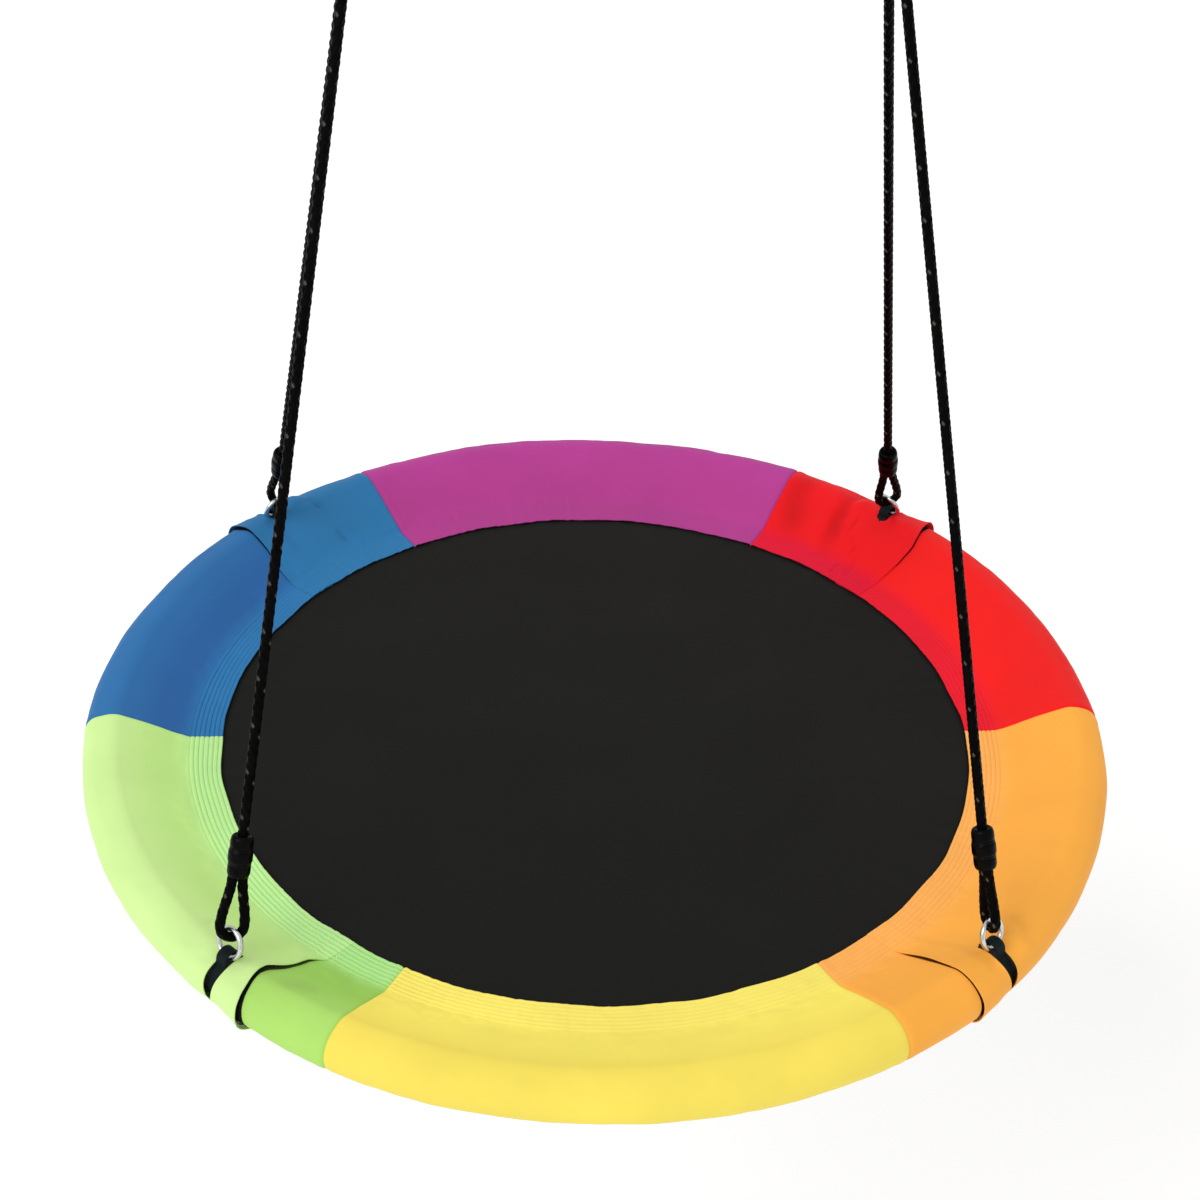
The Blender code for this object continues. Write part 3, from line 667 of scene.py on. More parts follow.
def add_carabiner(side, sign, steel):
    """An oval link in the XZ plane, forked for the gate that closes its outer side."""
    top_z = CARABINER_WIRE - CARABINER_HALF_WIDTH
    bow_z = (top_z, CARABINER_WIRE - CARABINER_LENGTH + CARABINER_HALF_WIDTH)
    nose, hinge = -GATE_ENDS[0], -GATE_ENDS[1]

    def place(offset, z):
        return np.array([sign * (HANG_SPACING / 2 + offset), 0.0, z])

    path = [place(CARABINER_HALF_WIDTH, nose)]
    for z, start in zip(bow_z, (0, 180)):
        path += [place(x, z) for x, z in arc((0.0, z), CARABINER_HALF_WIDTH, start, start + 180, 33)]
    path.append(place(CARABINER_HALF_WIDTH, hinge + 0.0045))
    points, faces, caps = tube(np.array(path), CARABINER_WIRE, ACROSS, 28)
    body = add_piece(f"carabiner_{side}", points, faces, steel, "carabiners", caps)
    pin_place = place(CARABINER_HALF_WIDTH, hinge)
    slot = GATE_TONGUE / 2 + GAP
    carve(body, (-0.010, -slot, -0.0050), (0.010, slot, 0.010), pin_place)
    bevel(body, 0.0004)

    gate_top = nose - hinge - 0.0005
    heights = np.array([-0.0030, -0.0024, 0.0, 0.0060, gate_top - 0.0010, gate_top])
    radii = np.array([0.70, 0.92, 1.0, 1.0, 1.0, 0.80]) * GATE_RADIUS
    points, faces, caps = turned(pin_place, UP, np.stack([radii, heights], 1), 28)
    gate = add_piece(f"gate_{side}", points, faces, steel, f"gate_{side}", caps)
    for low, high in ((-0.010, -GATE_TONGUE / 2), (GATE_TONGUE / 2, 0.010)):
        carve(gate, (-0.010, low, -0.010), (0.010, high, 0.0060), pin_place)
    bevel(gate, 0.0003)

    half = GATE_PIN_LENGTH / 2
    profile = [(0.6, -half - 0.0003), (1.25, -half), (1.25, -half + 0.0004), (1.0, -half + 0.0005)]
    profile += [(r, -h) for r, h in profile[::-1]]
    points, faces, caps = turned(pin_place, ACROSS, [(r * GATE_PIN_RADIUS, h) for r, h in profile], 24)
    add_piece(f"gate_pin_{side}", points, faces, steel, "carabiners", caps)


# ---------------------------------------------------------------- straps

STRAP_WIDTH = 0.012
STRAP_THICKNESS = 0.0018
STRAP_ROUND = 0.0226
APEX_RADIUS = 0.0085
STRAP_LEAN = 20.5


def strap_path():
    """The middle of the strap's thickness, as (radius, rise): round the foam and up over the ring's wire."""
    low = arc((TUBE_RADIUS, TUBE_RISE), STRAP_ROUND, 60, -240, 90)
    high = arc((PIVOT_RADIUS, PIVOT_RISE), APEX_RADIUS, 180 + STRAP_LEAN, STRAP_LEAN, 24)
    loop = np.concatenate([low, high, low[:1]])
    loop = places_at(loop, np.linspace(0.0, run_along(loop)[-1], 241)[:-1])
    for _ in range(6):
        loop = (np.roll(loop, 1, 0) + 2 * loop + np.roll(loop, -1, 0)) / 4
    return loop


def add_strap(name, port, material):
    """A webbing loop with soft edges and woven ribs."""
    outward, along = at_rim(port)
    loop = strap_path()
    path = loop[:, :1] * outward + (SEAT_TOP_Z + loop[:, 1:]) * UP
    turns = math.tau * (np.arange(32) + 0.5) / 32
    sine, cosine = np.sin(turns), np.cos(turns)
    outline = np.stack([
        STRAP_THICKNESS / 2 * np.sign(sine) * np.abs(sine) ** 0.35,
        STRAP_WIDTH / 2 * np.sign(cosine) * np.abs(cosine) ** 0.30,
    ], 1)
    points, faces = sweep(path, outline, along, closed=True)
    run = np.repeat(np.arange(len(path)) * np.linalg.norm(path[1] - path[0]), len(outline))
    uv = np.stack([run, np.tile(outline[:, 1], len(path))], 1)
    if volume_sign(points - points.mean(0), faces) < 0:
        faces = faces[:, ::-1]
    add_piece(f"strap_{name}", points, faces, material, "platform", uv=uv, sharp=80.0)


# ---------------------------------------------------------------- the rim's surface

FLAT_RUN = STITCH_RADIUS - SEAT_RADIUS
SLOPE = math.radians(25.8)
SLOPE_RUN = 0.0701
ROUND_RUN = COVER_RADIUS * (SLOPE + math.pi)
FULL_RUN = FLAT_RUN + SLOPE_RUN + ROUND_RUN
SOFT_BEND = 0.006
TABLE_STEP = 0.00025


def section_table():
    """Radius, rise and slope of the cover's section against run, with the bends made soft."""
    runs = np.arange(0.0, FULL_RUN + 0.01, TABLE_STEP)
    climb = np.clip((runs - FLAT_RUN + SOFT_BEND) / (2 * SOFT_BEND), 0.0, 1.0)
    slopes = SLOPE * climb * climb * (3 - 2 * climb)
    slopes -= np.maximum(0.0, runs - FLAT_RUN - SLOPE_RUN) / COVER_RADIUS
    radii = SEAT_RADIUS + np.concatenate([[0.0], np.cumsum(np.cos(slopes[:-1]))]) * TABLE_STEP
    rises = 0.0010 + np.concatenate([[0.0], np.cumsum(np.sin(slopes[:-1]))]) * TABLE_STEP
    return runs, radii, rises, slopes


SECTION = section_table()


def on_rim(angles, runs, lift):
    """Points on the cover, lifted along its normal."""
    table_runs, radii, rises, slopes = SECTION
    slope = np.interp(runs, table_runs, slopes)
    radius = np.interp(runs, table_runs, radii) - lift * np.sin(slope)
    rise = np.interp(runs, table_runs, rises) + lift * np.cos(slope)
    turn = np.radians(angles)
    scallop = 0.0004 * (np.sin(23 * turn + 1.0) + np.sin(31 * turn) + np.sin(13 * turn + 2.0))
    radius = radius + scallop * smooth((0.034 - runs) / 0.034)
    return np.stack([radius * np.cos(turn), radius * np.sin(turn), SEAT_TOP_Z + rise], -1)


def smooth(values):
    values = np.clip(values, 0.0, 1.0)
    return values * values * (3 - 2 * values)


def bell(values):
    return np.exp(-(values**2))


# How full the ridges between the sewn rows are, at angles round the ring
ROW_PUFF = (
    (0, 30, 60, 120, 150, 178, 236, 250, 300, 325, 360),
    (0.7, 0.55, 0.35, 0.35, 0.6, 1.0, 1.0, 0.45, 0.4, 0.55, 0.7),
)
SIM_ANGLE = 0.9
SIM_RUN = 0.005
SIM_FRAMES = 22
SIM_CAP = 0.0024
SIM_LOOSE_REACH = 11.0


def spline_weights(t):
    """Weights of the four neighbours of a place between the middle two, for a smooth curve."""
    return (1 - t) ** 3 / 6, (3 * t**3 - 6 * t**2 + 4) / 6, (-3 * t**3 + 3 * t**2 + 3 * t + 1) / 6, t**3 / 6


def sample(field, angles, runs):
    """A grid's value at any place on the rim."""
    rows, columns = field.shape
    x, y = (angles % 360.0) / SIM_ANGLE, np.clip(runs / SIM_RUN, 0.0, rows - 1.001)
    left, low = np.floor(x).astype(int), np.floor(y).astype(int)
    total = np.zeros(np.shape(angles))
    for i, weight_y in enumerate(spline_weights(y - low)):
        row = np.clip(low + i - 1, 0, rows - 1)
        for j, weight_x in enumerate(spline_weights(x - left)):
            total += weight_y * weight_x * field[row, (left + j - 1) % columns]
    return total


def simulate_slack():
    """A cloth simulation of the whole rim, sewn down at both edges and cut with a little too much cloth, most
    of it near the ports. Gives how far each place on the rim lifts."""
    columns = np.arange(0.0, 360.0, SIM_ANGLE)
    rows = np.arange(0.0, FULL_RUN + SIM_RUN, SIM_RUN)
    angles, runs = np.meshgrid(columns, rows)
    seeds = np.random.default_rng(5)
    start = on_rim(angles, runs, 0.0004 * seeds.standard_normal(angles.shape))
    flat = on_rim(angles, runs, 0.0 * angles)
    normals = on_rim(angles, runs, 0.0 * angles + 1.0) - flat
    mesh = bpy.data.meshes.new("cover_cloth")
    faces = grid_faces(len(rows), len(columns), False, True)
    mesh.from_pydata(start.reshape(-1, 3).tolist(), [], faces.tolist())
    cloth = link_object("cover_cloth", mesh)
    held = cloth.vertex_groups.new(name="held")
    loose = cloth.vertex_groups.new(name="loose")
    sewn = ((runs < FLAT_RUN + 0.003) | (runs > FULL_RUN - 0.012)).ravel()
    held.add(np.nonzero(sewn)[0].tolist(), 1.0, "REPLACE")
    from_port = 45.0 - np.abs((angles - 45.0) % 90.0 - 45.0)
    levels = np.round(8 * bell(from_port / SIM_LOOSE_REACH)).ravel()
    for level in range(1, 9):
        loose.add(np.nonzero(levels == level)[0].tolist(), level / 8, "REPLACE")
    modifier = cloth.modifiers.new("cloth", "CLOTH")
    for key, value in dict(
        quality=5, mass=0.15, tension_stiffness=25.0, compression_stiffness=25.0, shear_stiffness=12.0,
        bending_stiffness=0.9, vertex_group_mass="held", pin_stiffness=5.0, vertex_group_shrink="loose",
        shrink_min=-0.010, shrink_max=-0.045, use_pressure=True, uniform_pressure_force=0.35,
    ).items():
        setattr(modifier.settings, key, value)
    modifier.settings.effector_weights.gravity = 0.0
    modifier.point_cache.frame_start, modifier.point_cache.frame_end = 1, SIM_FRAMES
    scene = bpy.context.scene
    for step in range(1, SIM_FRAMES + 1):
        scene.frame_set(step)
    evaluated = cloth.evaluated_get(bpy.context.evaluated_depsgraph_get())
    places = np.empty(3 * len(mesh.vertices), np.float32)
    evaluated.data.vertices.foreach_get("co", places)
    moved = ((places.reshape(flat.shape) - flat) * normals).sum(-1)
    bpy.data.objects.remove(cloth)
    bpy.data.meshes.remove(mesh)
    scene.frame_set(1)
    return SIM_CAP * np.tanh(moved / SIM_CAP)


ROWS = 6
ROW_START = 0.0035
ROW_STEP = 0.0046
WAVES = 9
rng = np.random.default_rng(11)
CLOTH_SLACK = simulate_slack()
WAVE_COUNTS = rng.integers(5, 46, WAVES)
WAVE_PHASES = rng.uniform(0.0, math.tau, WAVES)
WAVE_DRIFTS = rng.uniform(-30.0, 30.0, WAVES)
PLEAT_COUNTS = rng.integers(150, 330, 5)
PLEAT_PHASES = rng.uniform(0.0, math.tau, 5)

# Folds near the ports, in millimetres: port, places as (along the rim from the port, run), width, and height.
# A narrow fold of negative height is a crease, sharp at its bottom; the others are soft ridges and hollows.
FOLDS = (
    (45.0, ((30, 132), (36, 104), (33, 88)), 10.5, 4.8),
    (45.0, ((24, 150), (44, 108), (47, 76), (34, 36)), 12.0, -5.4),
    (45.0, ((58, 104), (57, 76), (52, 50)), 10.0, 3.0),
    (45.0, ((24, 94), (23, 80), (21, 66)), 3.5, -2.2),
    (45.0, ((19, 67), (3, 56), (0, 44)), 3.0, -1.7),
    (45.0, ((12, 80), (10, 68)), 8.0, 1.8),
    (45.0, ((-8, 50), (-15, 26), (-20, 10)), 2.6, -1.6),
    (45.0, ((4, 30), (2, 6)), 2.6, -1.4),
    (45.0, ((106, 140), (106, 96), (98, 64), (84, 32)), 15.0, -3.8),
    (45.0, ((-20, 96), (-34, 70)), 9.0, 1.6),
    (135.0, ((-30, 134), (-36, 108)), 10.0, 4.4),
    (135.0, ((-45, 118), (-51, 90)), 3.8, -3.0),
    (135.0, ((-50, 64), (-54, 42)), 3.4, -2.4),
    (135.0, ((-58, 74), (-66, 50)), 9.0, 1.4),
    (135.0, ((14, 100), (22, 60)), 9.0, 1.4),
    (225.0, ((-53, 96), (-57, 82)), 2.2, -1.2),
    (225.0, ((46, 100), (66, 84), (90, 82)), 12.0, -1.4),
    (225.0, ((-18, 128), (-24, 100)), 11.0, 1.6),
    (315.0, ((24, 140), (30, 110)), 10.0, 2.2),
    (315.0, ((40, 128), (50, 96)), 7.0, -1.6),
)
CREASE_WIDTH = 5.0
# The fold depth at which the painted crease shade is full, and the share of that painted shade that the sewn
# rows' grooves get.
DEEP_FOLD = 0.0062
GROOVE_PAINTED_SHADE = 0.8
# How far a fold may sink at a run: the cloth is free on the slope, and it lies on the foam over the rim
DEEPEST = ((0.036, 0.055, 0.080, 0.104), (-0.0012, -0.0070, -0.0070, -0.0010))


def fold_lift(angles, runs):
    """Folds and creases, which fade out towards both of their ends."""
    lift = np.zeros_like(angles)
    down = runs * 1000
    for port, places, width, height in FOLDS:
        across = np.radians((angles - port + 180) % 360 - 180) * TUBE_RADIUS * 1000
        away, reached = np.full_like(angles, 1000.0), np.zeros_like(angles)
        length = 0.0
        for (x, y), (end_x, end_y) in zip(places, places[1:]):
            step_x, step_y = end_x - x, end_y - y
            span = math.hypot(step_x, step_y)
            share = np.clip(((across - x) * step_x + (down - y) * step_y) / span**2, 0.0, 1.0)
            from_here = np.hypot(across - x - share * step_x, down - y - share * step_y)
            reached = np.where(from_here < away, length + share * span, reached)
            away = np.minimum(away, from_here)
            length += span
        fade = np.minimum(reached, length - reached) / (0.3 * length)
        soft = height > 0 or width > CREASE_WIDTH
        shape = bell(away / width) if soft else np.exp(-((away / width) ** 1.3))
        lift += height / 1000 * shape * (0.25 + 0.75 * smooth(fade))
    return lift


def band_share(runs):
    """1 on the sewn band, 0 past it."""
    return smooth((0.0335 - runs) / 0.004)


def row_groove(angles, runs):
    """1 in the sewn rows' grooves where the band is full, 0 on the ridges and off the band."""
    groove = (1.0 - np.abs(np.sin(math.pi * (runs - ROW_START) / ROW_STEP))) ** 2
    return groove * band_share(runs) * np.interp(angles % 360, *ROW_PUFF) ** 2


def ripples(counts, turn):
    return sum(np.sin(count * turn + phase) for count, phase in zip(counts, PLEAT_PHASES))


def slack(angles, runs):
    """How far the cloth stands off its section: bulge, waves, simulated slack, rows, pleats and folds."""
    turn = np.radians(angles)
    on_slope = np.clip((runs - FLAT_RUN) / SLOPE_RUN, 0.0, 1.0)
    lift = 0.0018 * np.sin(math.pi * on_slope)
    waves = sum(
        np.sin(count * turn + phase + drift * runs) / math.sqrt(count)
        for count, phase, drift in zip(WAVE_COUNTS, WAVE_PHASES, WAVE_DRIFTS)
    )
    lift += 0.0007 * waves * smooth((runs - 0.022) / 0.03)
    lift += sample(CLOTH_SLACK, angles, runs)
    puff = np.abs(np.sin(math.pi * (runs - ROW_START) / ROW_STEP)) ** 0.7
    lift += 0.0013 * puff * band_share(runs) * np.interp(angles % 360, *ROW_PUFF)
    strength = 0.55 + 0.45 * np.sin(3 * turn + 1.9)
    reach = smooth((0.058 - runs) / 0.034)
    lift += 0.00028 * ripples(PLEAT_COUNTS, turn) / 2.2 * reach * strength
    return lift + np.maximum(fold_lift(angles, runs), np.interp(runs, *DEEPEST))


# ---------------------------------------------------------------- cover

# port: colour, first degree, upper piece, lower piece, then the free edge as (run, degrees past the port) and
# how high its lip stands as (run, millimetres). Runs are in millimetres.
LAPS = {
    45.0: (
        "red", 0, "back", "side",
        ((0, 7.3), (38, 6.9), (62, 7.2), (88, 7.0), (116, 5.6), (135, 4.9), (150, 4.8)),
        ((0, 0.0), (34, 0.0), (60, 1.2), (100, 3.2), (120, 5.2), (145, 6.2)),
    ),
    135.0: (
        "blue", 120, "back", "side",
        ((0, 7.0), (52, 6.3), (79, 5.2), (111, 4.7), (150, 4.9)),
        ((0, 0.0), (34, 0.0), (60, 1.0), (100, 1.6), (125, 3.4), (150, 4.0)),
    ),
    225.0: (
        "green", 180, "side", "front",
        ((0, 6.6), (30, 5.8), (44, 4.9), (68, 4.9), (83, 4.6), (91, 3.8), (99, 3.5), (115, 3.8), (132, 4.3),
         (150, 4.5)),
        ((0, 0.0), (36, 0.0), (55, 3.0), (70, 2.2), (82, 3.4), (96, 4.0), (120, 3.4), (150, 5.0)),
    ),
    315.0: (
        "orange", 300, "side", "front",
        ((0, 5.8), (27, 5.3), (60, 5.1), (150, 5.2)),
        ((0, 0.0), (34, 0.0), (50, 1.4), (72, 2.2), (95, 1.0), (125, 1.6), (150, 2.2)),
    ),
}
# port: how far the facing shows past the free edge, as (run in millimetres, degrees); over the rim it is
# black cloth, on the slope a dark sheet of painted shadow under the lip
FACINGS = {
    45.0: ((60, 0.0), (105, 0.03), (118, 0.22), (130, 0.50), (190, 0.55)),
    135.0: ((50, 0.0), (70, 0.07), (110, 0.10), (125, 0.32), (190, 0.38)),
    225.0: (
        (40, -0.1), (56, 0.10), (68, 0.05), (84, 0.08), (98, 0.26), (125, 0.26), (150, 0.42), (190, 0.42),
    ),
    315.0: ((38, -0.1), (50, 0.08), (70, 0.20), (88, 0.10), (130, 0.11), (150, 0.20), (190, 0.20)),
}
LAP_LIFT = 0.0013
LAP_UNDER = 2.2
LAP_MARGIN = 4.0
SLIT_RUNS = (0.0985, 0.160)
SLIT_ROUND = 0.0045
SLIT_POINT = 0.036
SLIT_HALF = 0.0066
SEAM_GAP = 0.00015
CLOTH_THICKNESS = 0.0010
# How dark the facing's slope part is against its cover's slope colour: painted shadow under the lip.
FACING_SHADOW_SHARE = 0.09


def column_angles(start, end, dense=()):
    """Angles of a piece's columns: every third of a degree, and closer near its ends and the dense places."""
    angles = list(np.arange(start, end, 0.36)) + [end]
    fine = np.degrees(np.array([0.0004, 0.0009, 0.0016, 0.0026, 0.0038]) / TUBE_RADIUS)
    angles += [start + f for f in fine] + [end - f for f in fine]
    for place in dense:
        angles += list(place + np.degrees(np.arange(-0.024, 0.0241, 0.0016) / TUBE_RADIUS))
    angles = np.unique(np.round([a for a in angles if start <= a <= end], 5))
    keep = np.concatenate([[True], np.diff(angles) > 0.02])
    keep[-1] = True
    return angles[keep]


def cover_grid(columns):
    runs = np.concatenate([np.arange(0.0, 0.032, 0.00066), np.linspace(0.032, FULL_RUN, 84)])
    return np.meshgrid(columns, runs)


def plain_surface(angles, runs, seams):
    """The lift of a piece, which turns down into its seams and puffs a little beside them."""
    tuck = np.zeros_like(angles)
    for seam in seams:
        away = np.abs(np.radians(angles - seam)) * TUBE_RADIUS
        tuck -= 0.0016 * bell(away / 0.0013)
        tuck += 0.0005 * bell((away - 0.0055) / 0.004)
    return slack(angles, runs) + tuck


def along_run(places, runs):
    """A soft curve through (run in millimetres, value) places."""
    known = np.array(places)
    return sum(
        np.interp(runs + shift, known[:, 0] / 1000, known[:, 1]) for shift in (-0.005, -0.002, 0.002, 0.005)
    ) / 4


def free_edge(port, way, runs):
    return port + way * along_run(LAPS[port][4], runs)


def upper_surface(angles, runs, port, way, seams):
    """The upper piece climbs onto the lower one and its free edge stands up as a lip."""
    climb = smooth(((angles - port) * way - 0.6) / 1.9)
    to_edge = np.radians((free_edge(port, way, runs) - angles) * way) * TUBE_RADIUS
    lip = along_run(LAPS[port][5], runs) / 1000 * np.exp(-np.maximum(to_edge, 0.0) / 0.011)
    pressed = 0.45 + 0.55 * smooth((runs - 0.028) / 0.012)
    return plain_surface(angles, runs, seams) + (LAP_LIFT * climb * pressed + lip * climb)


def slit_width(runs):
    """Half the slit's width: a round inner end that the strap fills, and a long point at the outer end."""
    inner = np.clip((runs - SLIT_RUNS[0]) / SLIT_ROUND, 0.0, 1.0)
    outer = np.clip((SLIT_RUNS[1] - runs) / SLIT_POINT, 0.0, 1.0)
    return SLIT_HALF * np.sqrt(1.0 - (1.0 - inner) ** 2) * np.sin(0.5 * math.pi * outer) ** 0.55


def surface_piece(name, angles, runs, lift, material, thickness=CLOTH_THICKNESS, gaps=None):
    """A cloth sheet over the rim from grids of angle, run and lift, with its real thickness."""
    points = on_rim(angles, runs, lift).reshape(-1, 3)
    faces = grid_faces(*angles.shape)
    uv = np.stack([np.radians(angles) * 0.45, runs], -1).reshape(-1, 2)
    if gaps is not None:
        points, faces, uv = gaps(points, faces, uv)
    own_node = name.startswith("cover_")
    piece = add_piece(
        name, points, faces, material, "platform", uv=uv, sharp=60.0, own_node=own_node
    )
    turns = np.degrees(np.arctan2(points[:, 1], points[:, 0]))
    # Painted shade, marked on the points: full at the bottom of deep folds, partial in the sewn rows'
    # grooves.
    depth = np.clip(-fold_lift(turns, uv[:, 1]) / DEEP_FOLD, 0.0, 1.0)
    mark_points(piece, "painted_crease_shade", np.maximum(depth, GROOVE_PAINTED_SHADE * row_groove(turns, uv[:, 1])))
    thicken(piece, thickness)
    return piece


def add_cover_piece(name, start, end, seams, material, slot):
    """A plain length of cover, sewn to its neighbours at its seams."""
    inset = np.degrees(SEAM_GAP / SEAT_RADIUS)
    angles, runs = cover_grid(column_angles(start + inset, end - inset))
    return surface_piece(name, angles, runs, plain_surface(angles, runs, seams), material)


def add_upper_piece(name, start, end, port, way, seams, material, slot):
    """The piece with the strap's slit, at a doubled column. One end is sewn, the other is the free edge."""
    if way > 0:
        columns = column_angles(start, port + LAP_MARGIN, (port,))
    else:
        columns = column_angles(port - LAP_MARGIN, end, (port,))
    at = int(np.argmin(np.abs(columns - port)))
    columns[at] = port
    columns = np.insert(columns, at, port)
    side = np.where(np.arange(len(columns)) <= at, -1.0, 1.0)
    angles, runs = cover_grid(columns)
    away = np.radians(np.abs(angles - port)) * TUBE_RADIUS
    push = np.degrees(slit_width(runs) * np.exp(-away / 0.016) / TUBE_RADIUS) * side[None, :]
    past = np.clip((angles - port) * way / LAP_MARGIN, 0.0, 1.0)
    angles = np.where(past > 0, port + (free_edge(port, way, runs) - port) * past, angles)
    lift = upper_surface(angles, runs, port, way, seams)
    away = np.radians(np.abs(angles - port)) * TUBE_RADIUS
    lift += 0.0011 * np.exp(-away / 0.006) * slit_width(runs) / SLIT_HALF
    opened = (runs > SLIT_RUNS[0]) & (runs < SLIT_RUNS[1])

    def weld(points, faces, uv):
        """Joins the doubled column outside the slit and drops what nothing uses."""
        left = np.arange(len(runs)) * len(columns) + at
        joined = ~opened[:, 0]
        index = np.arange(len(points))
        index[(left + 1)[joined]] = left[joined]
        faces = index[faces[faces[:, 0] % len(columns) != at]]
        used, faces = np.unique(faces, return_inverse=True)
        return points[used], faces.reshape(-1, 4), uv[used]

    return surface_piece(name, angles + push, runs, lift, material, gaps=weld)


def add_lower_piece(name, start, end, port, way, seams, material, slot):
    """The piece under the lap."""
    begin = port + way * LAP_UNDER
    low, high = (begin, end) if way > 0 else (start, begin)
    angles, runs = cover_grid(column_angles(low, high))
    under = smooth(1.0 - np.abs(angles - begin) / 3.5)
    lift = plain_surface(angles, runs, seams) - 0.0006 * under
    return surface_piece(name, angles, runs, lift, material)


def add_facing(name, port, way, material):
    """A facing under the free edge, seen where the lap stands open: on the slope a dark sheet of painted
    shadow, black cloth over the rim.
    """
    runs = np.linspace(FACINGS[port][0][0] / 1000, FULL_RUN, 64)
    shares, runs = np.meshgrid(np.linspace(0.0, 1.0, 12), runs)
    reach = along_run(FACINGS[port], runs)
    angles = free_edge(port, way, runs) + way * (reach - (1.0 - shares) * 1.6)
    lift = slack(angles, runs) + 0.0011
    return surface_piece(f"facing_{name}", angles, runs, lift, material, 0.0006)


STITCH_LENGTH = 0.0027
STITCH_PITCH = 0.0033
STITCH_SIDES = 6
THREAD_RADIUS = 0.00052
HEM_INSETS = (0.0035, 0.0075)
THREADS = {
    "magenta": (0.42, 0.06, 0.27),
    "red": (0.82, 0.020, 0.045),
    "orange": (0.98, 0.60, 0.30),
    "yellow": (0.95, 0.85, 0.35),
    "green": (0.88, 0.99, 0.80),
    "blue": (0.09, 0.28, 0.52),
}


def stitch_template():
    """One stitch: a short thread that dips into the cloth at both ends."""
    stations = np.linspace(-0.5, 0.5, 6)
    arch = np.sqrt(np.maximum(0.0, 1 - (2 * stations) ** 4))
    ring = THREAD_RADIUS * (0.35 + 0.65 * arch)[:, None, None] * circle(STITCH_SIDES)
    ring[..., 1] += THREAD_RADIUS * (1.2 * arch - 0.6)[:, None]
    x = np.repeat(stations * STITCH_LENGTH, STITCH_SIDES)
    return np.column_stack([x, ring.reshape(-1, 2)]), grid_faces(len(stations), STITCH_SIDES, False, True)


def add_stitches(name, places, material):
    """Stitches as one mesh. places are rows of angle, run, lift and heading, 0 being round the ring."""
    template, faces = stitch_template()
    angles, runs, lifts, heading = places
    centre = on_rim(angles, runs, lifts)
    step = 0.0002
    along = on_rim(angles + np.degrees(step / SEAT_RADIUS), runs, lifts) - centre
    across = on_rim(angles, runs + step, lifts) - centre
    along /= np.linalg.norm(along, axis=1, keepdims=True)
    across /= np.linalg.norm(across, axis=1, keepdims=True)
    turn = heading[:, None]
    first = np.cos(turn) * along + np.sin(turn) * across
    second = np.cos(turn) * across - np.sin(turn) * along
    axes = np.stack([first, second, np.cross(first, second)], 1)
    points = centre[:, None] + template @ axes
    size = len(template)
    bases = np.arange(len(centre)) * size
    all_faces = (faces[None] + bases[:, None, None]).reshape(-1, 4)
    ends = end_caps(size // STITCH_SIDES, STITCH_SIDES)
    caps = [[int(base) + k for k in end] for base in bases for end in ends]
    return add_piece(name, points, all_faces, material, "platform", caps, own_node=False)


def stitch_row(angles, runs, lift_at, heading):
    return np.stack([angles, runs, lift_at(angles, runs), np.full_like(runs, heading)])


def band_stitches(start, end, lift_at):
    """The stitches in the rows round the seat, between two angles."""
    margin = np.degrees(0.003 / SEAT_RADIUS)
    found = []
    for row in range(ROWS):
        run = ROW_START + row * ROW_STEP
        step = np.degrees(STITCH_PITCH / (SEAT_RADIUS + run))
        angles = np.arange(start + margin + 0.37 * row * step, end - margin, step)
        found.append(stitch_row(angles, np.full_like(angles, run), lift_at, 0.0))
    return found


def edge_stitches(port, way, lift_at):
    """Two rows along a free edge, and two sewn bars across the band, at the slit and at the free edge."""
    runs = np.arange(0.036, FULL_RUN - 0.004, STITCH_PITCH)
    edge = free_edge(port, way, runs)
    found = [
        stitch_row(edge - way * np.degrees(inset / TUBE_RADIUS), runs, lift_at, math.pi / 2)
        for inset in HEM_INSETS
    ]
    runs = np.arange(0.004, 0.031, 0.0011)
    zigzag = np.degrees(0.0006 * (-1.0) ** np.arange(len(runs)) / SEAT_RADIUS)
    for place in (port - 1.5 * way, port + 6.4 * way):
        found.append(stitch_row(place + zigzag, runs, lift_at, 0.9))
    return found


